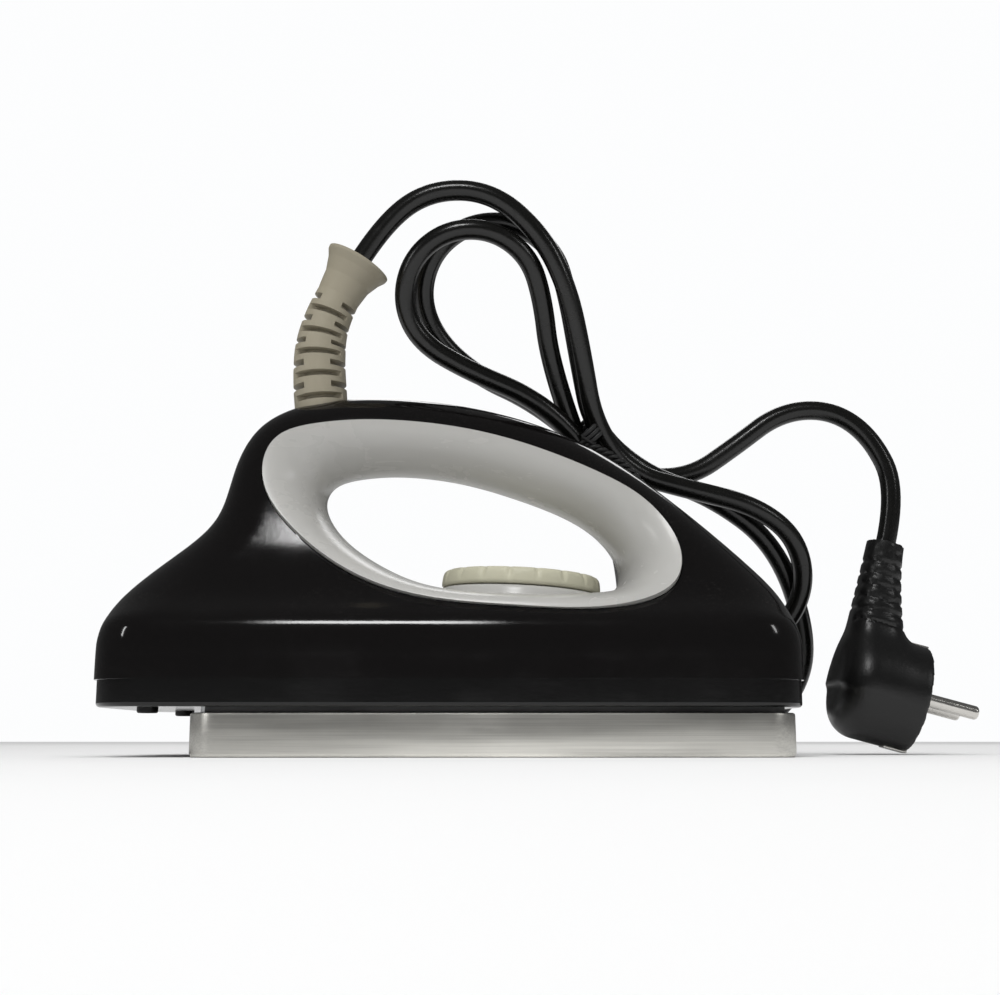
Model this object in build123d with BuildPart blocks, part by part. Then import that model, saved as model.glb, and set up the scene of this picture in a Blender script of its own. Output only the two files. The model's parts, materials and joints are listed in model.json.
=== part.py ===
"""Electric waxing iron for skis: cast sole plate with a tubular heater, a two-part moulded
body with a lined finger opening, a bimetal thermostat with a dial, and a tied mains cord.

Millimetres. +X points to the toe, +Z up, and the origin is the middle of the footprint."""
from build123d import *
import math
import os

# ---- driving dimensions -------------------------------------------------------------------
BODY_LENGTH = 216.0          # moulded body, heel to toe
BODY_WIDTH = 94.0
BODY_CORNER = 20.0           # plan radius of the body's four corners
SHELL_WALL = 2.6
SHELL_BOTTOM = 22.8          # seam between the upper shell and the skirt
SKIRT_BOTTOM = 14.7
SKIRT_INSET = 0.9            # the skirt steps in under the shell
SKIRT_FLOOR = 2.2

PLATE_LENGTH = 180.0
PLATE_WIDTH = 90.0
PLATE_THICK = 13.0
PLATE_CENTRE_X = 13.0        # the body overhangs the plate at the heel
PLATE_CORNER = 9.0
PLATE_EDGE = 1.0             # chamfer round the polished face
SHIELD_INSET = 3.0

LINER_WALL = 2.2
DIAL_X = 22.3
DIAL_SEAT_Z = 52.7
DIAL_TILT = 3.0              # degrees, towards the toe
DIAL_RADIUS = 26.0
DIAL_HEIGHT = 6.0
DIAL_GAP = 0.3
DIAL_NOTCHES = 18
SPINDLE_RADIUS = 3.0
RUNNING_CLEARANCE = 0.05

HEATER_RADIUS = 3.5
HEATER_ARM_Y = 24.0
HEATER_REAR_X = -52.0
HEATER_FRONT_X = 58.0
EARTH_X = -55.0
CLAMP_XS = (-36.0, 44.0)
CLAMP_SCREW_STEP = 5.8
WINDOW = (152.0, 67.0)       # opening in shield and skirt above heater and thermostat
WINDOW_X = 11.0
SKIRT_SCREWS = [(x, y) for x in (-70.0, 95.0) for y in (-37.0, 37.0)]
SHELL_SCREWS = [(-92.0, y) for y in (-27.0, 27.0)]

CORD = 7.0                   # outer diameter of the mains cord
WIRE = 2.2                   # insulated leads inside the body
PLUG_HEAD_RADIUS = 19.0
PLUG_PIN_RADIUS = 2.4
PLUG_PIN_LENGTH = 19.0
PLUG_PIN_SPACING = 19.0

HANK_LEAN = 23.0             # degrees from upright, against the back of the handle
HANK_PLANE = 63.0            # distance of the first layer's middle from the origin
HANK_LAYER = 7.4             # spacing of the three layers of cord

# side view of the body, heel round to toe, above its straight lower ends
BODY_SIDE = [(-108, 24), (-107.4, 36), (-103.3, 48), (-88, 63.5), (-76.5, 76), (-72, 92), (-64, 107.5),
             (-46, 116.4), (-20, 118.2), (12, 113.4), (44, 101.4), (76, 78.2), (98, 56.5),
             (104, 47.5), (107.3, 36.5), (108, 24)]
# front view of the body's right half, shoulder to crown
BODY_FRONT = [(47, 29), (46.7, 36), (44, 41.5), (38, 47), (31, 56.5), (25, 69.5), (20.4, 86), (17.4, 102),
              (12.5, 112), (5, 117.2), (0, 118.3)]
# finger opening: waist (x, z), rim (x, z) and the depth at which the rim meets the flank
OPENING = [((-43, 81.5), (-60.5, 88), 22.5), ((-39.5, 89), (-57, 102), 18.5),
           ((-30, 92.3), (-43, 107.6), 16.5), ((-15, 93), (-22, 108.8), 16.0),
           ((4, 90.5), (5, 105.5), 16.8), ((22, 84.8), (28, 98.6), 18.0),
           ((38, 78), (48, 89.6), 20.0), ((48, 70.5), (62, 80), 22.5),
           ((54, 61), (71, 64), 28.0), ((51.5, 55), (68, 51.5), 35.0),
           ((40, 53), (50, 44.3), 39.0), ((20, 53.6), (20, 44.4), 39.0),
           ((-4, 55.9), (-8, 47.3), 37.5), ((-24, 62.5), (-31, 55.5), 33.0),
           ((-37, 71.5), (-51, 71), 26.5)]
OPENING_DEPTHS = (0, 7, 12, 16, 20, 26, 33, 39, 50)

GUARD_EXIT = (-33.0, 0.0, 166.0)
# the free cord: from the guard over to the hank, and from the hank to the plug
ARCH_ROUTE = [GUARD_EXIT, (-24, -0.5, 181), (-8, -2, 192), (13, -2.5, 191), (30, -0.5, 176),
              (39, 3.5, 158)]
TAIL_ROUTE = [(90, 46, 95), (98, 46.3, 102.5), (113, 46.2, 114), (130, 45, 119.5), (146.5, 43, 115),
              (157, 41.5, 103)]
# the sheath inside the body: guard, handle column, terminal block
SHEATH_ROUTE = [(-44, 0, 108.5), (-50, 0, 97), (-56, 0, 83), (-60, 0, 68), (-64.5, 0, 53),
                (-68.5, 0, 39.5), (-74, 0, 28.5), (-83, 0, 23.5)]

# strain relief sleeve and the clamp under it
GUARD_ROUTE = [(-44, 0, 111), (-45.5, 0, 124), (-45, 0, 138), (-41, 0, 151), GUARD_EXIT]
GUARD_RADII = (8.6, 8.9, 8.6, 7.9, 7.4, 8.2, 11.4)
CLAMP_BOSS_FACE = -64.5
CORD_CLAMP_Z = 77.0
CORD_CLAMP_SCREWS = [(y, CORD_CLAMP_Z) for y in (-8.5, 8.5)]

# terminal block and thermostat
BLOCK_FRONT = -83.0
BLOCK_SCREWS = [(-89.0, y) for y in (-12.0, 0.0, 12.0)]
STACK_X = 2.0
ARM_PIVOT = (9.0, 0.0, 26.4)
SPINDLE_END = -20.0          # below the dial's seat, along its axis
FRAME_TOP = -16.0

# the tied hank's outline (x, z) on its first layer, its twist tie, and the plug's place
HANK_OUTLINE = [(-15, 158), (-12, 175), (0, 187), (19, 188.5), (35, 180), (43.5, 163), (48.5, 144),
                (56, 121), (74, 106.5), (100, 101), (124, 90), (133, 66), (134.5, 36), (122, 12),
                (98, 4.6), (72, 10), (60, 30), (58, 58), (51, 80), (38.5, 104), (20, 121), (0, 135)]
TIE_AT = (46.0, 112.0)
TIE_TURN = 48.0              # degrees that the bundle falls at the tie, towards the toe
TIE_INSIDE = (19.5, 22.6)
TIE_CORNER = 3.5
TIE_WIRE = 1.8
TIE_TAIL = 24.0
TIE_TAIL_RADIUS = 1.4
TIE_TAIL_WAY = (0.74, -0.05, -0.6)
PLUG_CENTRE = (150.0, 40.0, 22.6)
PLUG_TILT = 15.0             # degrees that the pins point down
PLUG_BACK = -15.0            # back and face of the head, along the pins
PLUG_FACE = 14.0
PLUG_CHAMFER = 5.5
ARM_TOP = (-8.3, 52.0)       # where the cord enters the arm, in the plug's own frame
ARM_TOP_RADIUS = 6.6
CORD_LEAD_IN = 15.0          # straight length of cord above the arm

DIAL_PLANE = Plane(origin=(DIAL_X, 0, DIAL_SEAT_Z),
                   x_dir=(math.cos(math.radians(DIAL_TILT)), 0, -math.sin(math.radians(DIAL_TILT))),
                   z_dir=(math.sin(math.radians(DIAL_TILT)), 0, math.cos(math.radians(DIAL_TILT))))

os.makedirs("parts", exist_ok=True)


def save(builder, name):
    """Label a finished piece and write it as its own file."""
    builder.part.label = name
    export_step(builder.part, f"parts/{name}.step")
    return builder.part


# ---- shared shapes -------------------------------------------------------------------------
def inset_curve(points, amount, first, last):
    """Points moved inwards, to the right of their direction of travel; the ends' normals are given."""
    moved = []
    for before, here, after in zip([None] + points, points, points[1:] + [None]):
        if before and after:
            run = Vector(after[0] - before[0], after[1] - before[1]).normalized()
            normal = (run.Y, -run.X)
        else:
            normal = first if after else last
        moved.append((here[0] + normal[0] * amount, here[1] + normal[1] * amount))
    return moved


def body_block(inset, bottom):
    """The body's outer shape, or with an inset the space inside its wall."""
    side = inset_curve(BODY_SIDE, inset, (1, 0), (-1, 0))
    front = inset_curve(BODY_FRONT[::-1], inset, (0, -1), (-1, 0))
    with BuildPart() as block:
        with BuildSketch(Plane.XZ):
            with BuildLine():
                Spline(*side)
                Polyline(side[-1], (side[-1][0], 0), (side[0][0], 0), side[0])
            make_face()
        extrude(amount=BODY_WIDTH, both=True)
        with BuildSketch(Plane.YZ):
            with BuildLine():
                Spline(*front)
                Polyline(front[-1], (front[-1][0], 0), (0, 0), front[0])
            make_face()
            mirror(about=Plane.YZ)
        extrude(amount=BODY_LENGTH, both=True, mode=Mode.INTERSECT)
        with BuildSketch(Plane.XY.offset(bottom)):
            RectangleRounded(BODY_LENGTH - 2 * inset, BODY_WIDTH - 2 * inset, BODY_CORNER - inset)
        extrude(amount=120, mode=Mode.INTERSECT)
    return block.part


def opening_outline(depth, grow):
    """The finger opening's outline at a depth from the middle, flared like a quarter ellipse."""
    points = []
    for waist, rim, rim_depth in OPENING:
        inside = min(depth / rim_depth, 1)
        flare = 1 - math.sqrt(1 - inside ** 2) + 0.6 * max(depth / rim_depth - 1, 0)
        step = (rim[0] - waist[0], rim[1] - waist[1])
        reach = flare + grow / math.hypot(*step)
        points.append((waist[0] + step[0] * reach, waist[1] + step[1] * reach))
    return points


def opening_horn(side, grow):
    """One side's half of the finger opening, waist to beyond the flank."""
    with BuildPart() as horn:
        for depth in OPENING_DEPTHS:
            with BuildSketch(Plane.XZ.offset(-side * depth)):
                with BuildLine():
                    Spline(*opening_outline(depth, grow), periodic=True)
                make_face()
        loft(ruled=True)
    return horn.part


def bend_radii(route):
    """Radius at each corner: 0.45 of the shorter run, over the tangent of half the turn."""
    radii = []
    for before, corner, after in zip(route, route[1:], route[2:]):
        first = Vector(*corner) - Vector(*before)
        second = Vector(*after) - Vector(*corner)
        half_turn = math.radians(first.get_angle(second)) / 2
        radii.append(0.45 * min(first.length, second.length) / math.tan(half_turn))
    return radii


def round_tube(route, diameter, name):
    """A tube along straight runs joined by tangent arcs."""
    radii = bend_radii(route)
    with BuildPart() as tube:
        with BuildLine() as path:
            FilletPolyline(*route, radius=radii)
        with BuildSketch(Plane(origin=path.line @ 0, z_dir=path.line % 0)):
            Circle(diameter / 2)
        sweep()
    length = path.wires()[0].length
    share = tube.part.volume / (math.pi * diameter ** 2 / 4 * length)
    print(f"{name}: radii {[round(r, 1) for r in radii]}, length {length:.1f}, volume {share:.4f}")
    return tube


def screw(radius, head_radius, head_height, length):
    """A pan-head screw hanging down from the plane z = 0, under its head."""
    with BuildPart() as one:
        Cylinder(radius, length, align=(Align.CENTER, Align.CENTER, Align.MAX))
        Cylinder(head_radius, head_height, align=(Align.CENTER, Align.CENTER, Align.MIN))
        fillet(one.edges().group_by(Axis.Z)[-1], head_height * 0.4)
        with Locations((0, 0, head_height)):
            Box(head_radius * 1.3, 0.7, head_height, mode=Mode.SUBTRACT)
    return one.part


def screw_group(name, places, one):
    """The same screw at several planes, kept as separate solids."""
    with BuildPart() as group:
        for place in places:
            add(place * one)
    return save(group, name)


# ---- hot half: plate, heater, shield -------------------------------------------------------
def make_sole_plate():
    with BuildPart() as plate:
        with BuildSketch():
            with Locations((PLATE_CENTRE_X, 0)):
                RectangleRounded(PLATE_LENGTH, PLATE_WIDTH, PLATE_CORNER)
        extrude(amount=PLATE_THICK)
        chamfer(plate.edges().group_by(Axis.Z)[0], PLATE_EDGE)
        add(heater_shape(), mode=Mode.SUBTRACT)
        with BuildSketch(Plane.XY.offset(PLATE_THICK)):
            for x, y in SKIRT_SCREWS:
                with Locations((x, y)):
                    Circle(2.0)
            for x, y in clamp_screw_places():
                with Locations((x, y)):
                    Circle(1.5)
            with Locations((EARTH_X, 0)):
                Circle(2.0)
        extrude(amount=-8, mode=Mode.SUBTRACT)
        for y in (-HEATER_ARM_Y, HEATER_ARM_Y):
            with Locations((HEATER_REAR_X, y, PLATE_THICK)):
                Box(13, 9, 4, align=(Align.MAX, Align.CENTER, Align.MAX), mode=Mode.SUBTRACT)
    save(plate, "sole_plate")


def heater_shape():
    with BuildPart() as tube:
        with BuildLine() as path:
            Polyline((HEATER_REAR_X, -HEATER_ARM_Y, PLATE_THICK), (HEATER_FRONT_X, -HEATER_ARM_Y, PLATE_THICK))
            ThreePointArc((HEATER_FRONT_X, -HEATER_ARM_Y, PLATE_THICK),
                          (HEATER_FRONT_X + HEATER_ARM_Y, 0, PLATE_THICK),
                          (HEATER_FRONT_X, HEATER_ARM_Y, PLATE_THICK))
            Polyline((HEATER_FRONT_X, HEATER_ARM_Y, PLATE_THICK), (HEATER_REAR_X, HEATER_ARM_Y, PLATE_THICK))
        with BuildSketch(Plane(origin=path.line @ 0, z_dir=path.line % 0)):
            Circle(HEATER_RADIUS)
        sweep()
    return tube.part


def make_heater():
    with BuildPart() as element:
        add(heater_shape())
    save(element, "heater_element")
    with BuildPart() as beads:
        for y in (-HEATER_ARM_Y, HEATER_ARM_Y):
            with BuildSketch(Plane(origin=(HEATER_REAR_X, y, PLATE_THICK), z_dir=(-1, 0, 0))):
                Circle(2.6)
            extrude(amount=5)
    save(beads, "heater_beads")
    with BuildPart() as pins:
        for y in (-HEATER_ARM_Y, HEATER_ARM_Y):
            with BuildSketch(Plane(origin=(HEATER_REAR_X - 5, y, PLATE_THICK), z_dir=(-1, 0, 0))):
                Circle(1.2)
            extrude(amount=5)
    save(pins, "heater_pins")


def clamp_screw_places():
    return [(x, side * HEATER_ARM_Y + step) for x in CLAMP_XS for side in (-1, 1)
            for step in (-CLAMP_SCREW_STEP, CLAMP_SCREW_STEP)]


def make_heater_clamps():
    with BuildPart() as clamps:
        for x in CLAMP_XS:
            for side in (-1, 1):
                with Locations((x, side * HEATER_ARM_Y, PLATE_THICK)):
                    Box(8, 17, 5, align=(Align.CENTER, Align.CENTER, Align.MIN))
        add(heater_shape(), mode=Mode.SUBTRACT)
        with BuildSketch(Plane.XY.offset(PLATE_THICK)):
            for x, y in clamp_screw_places():
                with Locations((x, y)):
                    Circle(1.5)
        extrude(amount=6, mode=Mode.SUBTRACT)
        with BuildSketch(Plane.XY.offset(PLATE_THICK + 2)):
            for x, y in clamp_screw_places():
                with Locations((x, y)):
                    Rectangle(8, 5.4)
        extrude(amount=6, mode=Mode.SUBTRACT)
    save(clamps, "heater_clamps")
    places = [Plane(origin=(x, y, PLATE_THICK + 2)) for x, y in clamp_screw_places()]
    screw_group("heater_clamp_screws", places, screw(1.5, 2.4, 1.8, 8))


def make_heat_shield():
    with BuildPart() as shield:
        with BuildSketch(Plane.XY.offset(PLATE_THICK)):
            with Locations((PLATE_CENTRE_X, 0)):
                RectangleRounded(PLATE_LENGTH - 2 * SHIELD_INSET, PLATE_WIDTH - 2 * SHIELD_INSET,
                                 PLATE_CORNER - SHIELD_INSET)
            with Locations((WINDOW_X, 0)):
                RectangleRounded(*WINDOW, 6, mode=Mode.SUBTRACT)
            with Locations(*SKIRT_SCREWS):
                Circle(4.0, mode=Mode.SUBTRACT)
        extrude(amount=SKIRT_BOTTOM - PLATE_THICK)
    save(shield, "heat_shield")
    with BuildPart() as bushes:
        with BuildSketch(Plane.XY.offset(PLATE_THICK)):
            for x, y in SKIRT_SCREWS:
                with Locations((x, y)):
                    Circle(3.8)
                    Circle(2.1, mode=Mode.SUBTRACT)
        extrude(amount=SKIRT_BOTTOM - PLATE_THICK)
    save(bushes, "spacer_bushes")


# ---- moulded body --------------------------------------------------------------------------
def make_base_skirt():
    inner_length = BODY_LENGTH - 2 * SKIRT_INSET - 2 * SHELL_WALL
    inner_width = BODY_WIDTH - 2 * SKIRT_INSET - 2 * SHELL_WALL
    with BuildPart() as skirt:
        with BuildSketch(Plane.XY.offset(SKIRT_BOTTOM)):
            RectangleRounded(BODY_LENGTH - 2 * SKIRT_INSET, BODY_WIDTH - 2 * SKIRT_INSET,
                             BODY_CORNER - SKIRT_INSET)
        extrude(amount=SHELL_BOTTOM - SKIRT_BOTTOM)
        fillet(skirt.edges().group_by(Axis.Z)[0], 1.2)
        with BuildSketch(Plane.XY.offset(SKIRT_BOTTOM + SKIRT_FLOOR)):
            RectangleRounded(inner_length, inner_width, BODY_CORNER - SKIRT_INSET - SHELL_WALL)
        extrude(amount=20, mode=Mode.SUBTRACT)
        with BuildSketch(Plane.XY.offset(SKIRT_BOTTOM)):
            with Locations((WINDOW_X, 0)):
                RectangleRounded(*WINDOW, 6)
            with Locations(*SKIRT_SCREWS):
                Circle(2.1)
            with Locations(*SHELL_SCREWS):
                Circle(1.9)
        extrude(amount=SKIRT_FLOOR, mode=Mode.SUBTRACT)
    save(skirt, "base_skirt")
    floor = SKIRT_BOTTOM + SKIRT_FLOOR
    places = [Plane(origin=(x, y, floor)) for x, y in SKIRT_SCREWS]
    screw_group("skirt_screws", places, screw(2.0, 3.6, 2.4, 11.5))


def make_upper_shell():
    post_bottom = SKIRT_BOTTOM + SKIRT_FLOOR
    with BuildPart() as shell:
        add(body_block(0, SHELL_BOTTOM))
        add(shell_cavity(), mode=Mode.SUBTRACT)
        with BuildSketch(Plane.XY.offset(post_bottom)):
            with Locations(*SHELL_SCREWS):
                Circle(4.5)
        extrude(amount=SHELL_BOTTOM - post_bottom)
        for side in (-1, 1):
            add(opening_horn(side, LINER_WALL), mode=Mode.SUBTRACT)
        add(guard_socket(), mode=Mode.SUBTRACT)
        with BuildSketch(Plane.XY.offset(post_bottom)):
            with Locations(*SHELL_SCREWS):
                Circle(1.5)
        extrude(amount=14, mode=Mode.SUBTRACT)
        with BuildSketch(Plane.YZ.offset(CLAMP_BOSS_FACE)):
            with Locations(*CORD_CLAMP_SCREWS):
                Circle(1.4)
        extrude(amount=-8, mode=Mode.SUBTRACT)
    save(shell, "upper_shell")
    places = [Plane(origin=(x, y, SKIRT_BOTTOM), z_dir=(0, 0, -1)) for x, y in SHELL_SCREWS]
    screw_group("shell_screws", places, screw(1.5, 3.2, 1.6, 15))


def shell_cavity():
    """The space inside the shell, less two screw posts and the cord clamp's block."""
    with BuildPart() as cavity:
        add(body_block(SHELL_WALL, SHELL_BOTTOM))
        with BuildSketch(Plane.XY.offset(SHELL_BOTTOM)):
            with Locations(*SHELL_SCREWS):
                Circle(4.5)
        extrude(amount=60, mode=Mode.SUBTRACT)
        with Locations((CLAMP_BOSS_FACE, 0, CORD_CLAMP_Z)):
            Box(30, 24, 7, align=(Align.MAX, Align.CENTER, Align.CENTER), mode=Mode.SUBTRACT)
    return cavity.part


def dial_boss(radius, low, high):
    """A round slug square to the tilted dial seat."""
    with BuildPart() as slug:
        with BuildSketch(DIAL_PLANE.offset(low)):
            Circle(radius)
        extrude(amount=high - low)
    return slug.part


def make_liners():
    outer = body_block(0, SHELL_BOTTOM)
    for side, name in ((-1, "liner_left"), (1, "liner_right")):
        horn = opening_horn(side, LINER_WALL)
        with BuildPart() as boss:
            add(dial_boss(DIAL_RADIUS - 1, -6, 0))
            with Locations((0, side * 30, 80)):
                Box(240, 60, 120, mode=Mode.INTERSECT)
            add(horn, mode=Mode.SUBTRACT)
        with BuildPart() as wall:
            add(horn)
            add(opening_horn(side, 0), mode=Mode.SUBTRACT)
            add(outer, mode=Mode.INTERSECT)
        with BuildPart() as liner:
            add(wall.part.solids().sort_by(SortBy.VOLUME)[-1])
            add(boss.part)
            add(dial_boss(DIAL_RADIUS + 1.2, 0, 14), mode=Mode.SUBTRACT)
            add(dial_boss(SPINDLE_RADIUS + 0.5, -12, 2), mode=Mode.SUBTRACT)
        save(liner, name)


# ---- strain relief and the cord's path through the handle ----------------------------------
def guard_path():
    with BuildLine() as path:
        Spline(*GUARD_ROUTE, tangents=[(0, 0, 1), (0.55, 0, 0.84)])
    return path.line


def guard_plane(path, share):
    return Plane(origin=path @ share, z_dir=path % share, x_dir=(0, 1, 0))


def guard_socket():
    """The round hole in the crown that the guard plugs into."""
    with BuildPart() as socket:
        with BuildSketch(Plane(origin=(-44, 0, 106))):
            Circle(8.6)
        extrude(amount=20)
    return socket.part


def make_cord_guard():
    path = guard_path()
    shares = (0, 0.2, 0.42, 0.62, 0.8, 0.93, 1)
    with BuildPart() as guard:
        for share, radius in zip(shares, GUARD_RADII):
            with BuildSketch(guard_plane(path, share)):
                Circle(radius)
        loft()
        for row in range(5):
            cut_guard_slots(path, 0.24 + 0.12 * row, row % 2)
        with BuildSketch(Plane(origin=GUARD_ROUTE[0])):
            Circle(10.5)
        extrude(amount=-2.5)
    save(guard, "cord_guard")


def cut_guard_slots(path, share, crosswise):
    """A pair of narrow slots that lets the guard bend, on the flanks or front and back."""
    place = guard_plane(path, share)
    with BuildPart(mode=Mode.PRIVATE) as slots:
        with BuildSketch(place.offset(-1)):
            Circle(12)
            if crosswise:
                Rectangle(9.6, 30, mode=Mode.SUBTRACT)
            else:
                Rectangle(30, 9.6, mode=Mode.SUBTRACT)
        extrude(amount=2)
    add(slots.part, mode=Mode.SUBTRACT)


def make_cord_path():
    sheath = round_tube(SHEATH_ROUTE, CORD, "cord_sheath")
    save(sheath, "cord_sheath")
    with BuildPart() as clamp:
        with Locations((CLAMP_BOSS_FACE, 0, CORD_CLAMP_Z)):
            Box(11, 24, 6.4, align=(Align.MIN, Align.CENTER, Align.CENTER))
        add(sheath.part, mode=Mode.SUBTRACT)
        with BuildSketch(Plane.YZ.offset(CLAMP_BOSS_FACE)):
            with Locations(*CORD_CLAMP_SCREWS):
                Circle(1.5)
        extrude(amount=12, mode=Mode.SUBTRACT)
    save(clamp, "cord_clamp")
    places = [Plane(origin=(CLAMP_BOSS_FACE + 11, y, z), z_dir=(1, 0, 0))
              for y, z in CORD_CLAMP_SCREWS]
    screw_group("cord_clamp_screws", places, screw(1.4, 2.6, 1.6, 18))


# ---- wiring --------------------------------------------------------------------------------
def make_terminal_block():
    floor = SKIRT_BOTTOM + SKIRT_FLOOR
    with BuildPart() as block:
        with Locations((BLOCK_FRONT, 0, floor)):
            Box(13, 38, 12, align=(Align.MAX, Align.CENTER, Align.MIN))
        fillet(block.edges().filter_by(Axis.Z), 1.5)
        for y in (-6.0, 6.0):
            with Locations((BLOCK_FRONT - 6.5, y, floor + 12)):
                Box(13, 1.6, 4, mode=Mode.SUBTRACT)
        with BuildSketch(Plane.XY.offset(floor + 12)):
            with Locations(*BLOCK_SCREWS):
                Circle(2.6)
        extrude(amount=-6, mode=Mode.SUBTRACT)
    save(block, "terminal_block")
    places = [Plane(origin=(x, y, floor + 9)) for x, y in BLOCK_SCREWS]
    screw_group("terminal_screws", places, screw(1.6, 2.5, 1.6, 3))


def make_wires():
    rear = HEATER_REAR_X - 8
    routes = {
        "neutral_wire": [(BLOCK_FRONT, 13, 23), (-77, 14.5, 24.5), (-69, 19, 24.5), (-62.5, 22.5, 21.5),
                         (rear, 24, 14.2)],
        "live_wire": [(BLOCK_FRONT, -13, 23), (-70, -15, 26), (-54, -14, 28), (-36, -9, 28.5),
                      (-18, -3, 26), (-6.4, 0, 22)],
        "earth_wire": [(BLOCK_FRONT, 7, 22.5), (-76, 8.5, 22), (-67, 7, 20.5), (EARTH_X - 4.5, 3.2, 18)],
        "heater_link": [(rear, -24, 14.2), (rear - 0.5, -23.4, 19), (-55, -22.2, 23), (-44, -18.4, 23.2)],
        "fuse_link": [(-24, -14.6, 23.2), (-12, -11.5, 22), (-2, -9, 19.6), (5, -6.3, 18.2)],
    }
    for name, route in routes.items():
        save(round_tube(route, WIRE, name), name)
    with BuildPart() as fuse:
        with BuildSketch(Plane(origin=(-44, -18.4, 23.2), z_dir=(20, 3.8, 0))):
            Circle(2.4)
        extrude(amount=20)
    save(fuse, "thermal_fuse")
    with BuildPart() as tag:
        with Locations((EARTH_X, 0, PLATE_THICK)):
            Box(12, 8, 1, align=(Align.CENTER, Align.CENTER, Align.MIN))
        with Locations((EARTH_X - 4.5, 3.0, PLATE_THICK + 1)):
            Box(2.6, 2.0, 4.4, align=(Align.CENTER, Align.CENTER, Align.MIN))
        with Locations((EARTH_X, 0, PLATE_THICK + 1)):
            Hole(2.0, 2)
    save(tag, "earth_tag")
    screw_group("earth_screw", [Plane(origin=(EARTH_X, 0, PLATE_THICK + 1))], screw(2.0, 3.2, 2.2, 8))


# ---- thermostat ----------------------------------------------------------------------------
def make_thermostat():
    with BuildPart() as frame:
        with Locations((DIAL_X - 2, 0, PLATE_THICK)):
            Box(44, 15, 1.2, align=(Align.CENTER, Align.CENTER, Align.MIN))
        with Locations((DIAL_X + 14, 0, PLATE_THICK)):
            Box(1.5, 15, 24.5, align=(Align.CENTER, Align.CENTER, Align.MIN))
        with BuildSketch(DIAL_PLANE.offset(FRAME_TOP)):
            with Locations((4.7, 0)):
                Rectangle(22, 15)
            Circle(SPINDLE_RADIUS + RUNNING_CLEARANCE, mode=Mode.SUBTRACT)
        extrude(amount=-1.5)
    save(frame, "thermostat_frame")
    with BuildPart() as bush:
        with BuildSketch(DIAL_PLANE.offset(FRAME_TOP)):
            Circle(5)
            Circle(SPINDLE_RADIUS + RUNNING_CLEARANCE, mode=Mode.SUBTRACT)
        extrude(amount=7)
    save(bush, "spindle_bush")
    make_thermostat_stack()
    make_leaves()


def stack_washer(low, high):
    """One ceramic washer round the stack's rivet."""
    with BuildPart() as washer:
        with BuildSketch(Plane.XY.offset(low)):
            with Locations((STACK_X, 0)):
                Circle(5)
                Circle(1.5, mode=Mode.SUBTRACT)
        extrude(amount=high - low)
    return washer.part


def make_thermostat_stack():
    with BuildPart() as washers:
        for low, high in ((14.2, 17.0), (17.6, 23.0), (23.4, 27.4)):
            add(stack_washer(low, high))
    save(washers, "ceramic_washers")
    with BuildPart() as rivet:
        with BuildSketch(Plane.XY.offset(14.2)):
            with Locations((STACK_X, 0)):
                Circle(1.5)
        extrude(amount=13.2)
        with BuildSketch(Plane.XY.offset(27.4)):
            with Locations((STACK_X, 0)):
                Circle(3)
        extrude(amount=1.2)
    save(rivet, "stack_rivet")


def leaf(low, high, end_x):
    """A flat spring leaf with its hole over the stack's rivet."""
    with BuildPart() as blade:
        with BuildSketch(Plane.XY.offset(low)):
            with Locations(((STACK_X - 6 + end_x) / 2, 0)):
                RectangleRounded(end_x - STACK_X + 6, 8, 1.5)
            with Locations((STACK_X, 0)):
                Circle(1.5, mode=Mode.SUBTRACT)
        extrude(amount=high - low)
    return blade.part


def make_leaves():
    with BuildPart() as bimetal:
        add(leaf(17.0, 17.6, 32))
    save(bimetal, "bimetal_strip")
    with BuildPart() as lower:
        add(leaf(23.0, 23.4, 31))
        with Locations((28, 0, 23.4)):
            Cylinder(1.8, 0.6, align=(Align.CENTER, Align.CENTER, Align.MIN))
        with Locations((STACK_X - 8, 0, 23.0)):
            Box(5, 5, 0.4, align=(Align.CENTER, Align.CENTER, Align.MIN))
    save(lower, "fixed_contact_leaf")
    with BuildPart() as arm:
        with Locations((ARM_PIVOT[0] - 0.8, 0, 26.2)):
            Box(22, 7, 0.4, align=(Align.MIN, Align.CENTER, Align.MIN))
        with Locations((28, 0, 26.2)):
            Cylinder(1.8, 0.6, align=(Align.CENTER, Align.CENTER, Align.MAX))
        with Locations((ARM_PIVOT[0], 0, ARM_PIVOT[2])):
            Cylinder(0.8, 9, rotation=(90, 0, 0))
    save(arm, "contact_arm")
    with BuildPart() as hinge_block:
        with Locations((ARM_PIVOT[0] - 1.4, 0, 23.4)):
            for y in (-5.1, 5.1):
                with Locations((0.9, y, 0)):
                    Box(4, 1, 4.6, align=(Align.CENTER, Align.CENTER, Align.MIN))
    save(hinge_block, "arm_cheeks")
    with BuildPart() as pin:
        with BuildSketch(DIAL_PLANE.offset(SPINDLE_END - 0.2)):
            Circle(1.5)
        extrude(amount=-5.4)
    save(pin, "thermostat_pin")


def make_dial():
    with BuildPart() as dial:
        with BuildSketch(DIAL_PLANE.offset(DIAL_GAP)):
            Circle(DIAL_RADIUS)
            with PolarLocations(DIAL_RADIUS + 0.35, DIAL_NOTCHES):
                Circle(0.9, mode=Mode.SUBTRACT)
            Circle(SPINDLE_RADIUS, mode=Mode.SUBTRACT)
        extrude(amount=DIAL_HEIGHT)
    save(dial, "dial")
    with BuildPart() as cap:
        with BuildSketch(DIAL_PLANE.offset(DIAL_GAP + DIAL_HEIGHT)):
            Circle(7)
        extrude(amount=0.8)
    save(cap, "dial_cap")
    with BuildPart() as spindle:
        with BuildSketch(DIAL_PLANE.offset(SPINDLE_END)):
            Circle(SPINDLE_RADIUS)
        extrude(amount=DIAL_GAP + DIAL_HEIGHT - SPINDLE_END)
    save(spindle, "thermostat_spindle")


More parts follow.
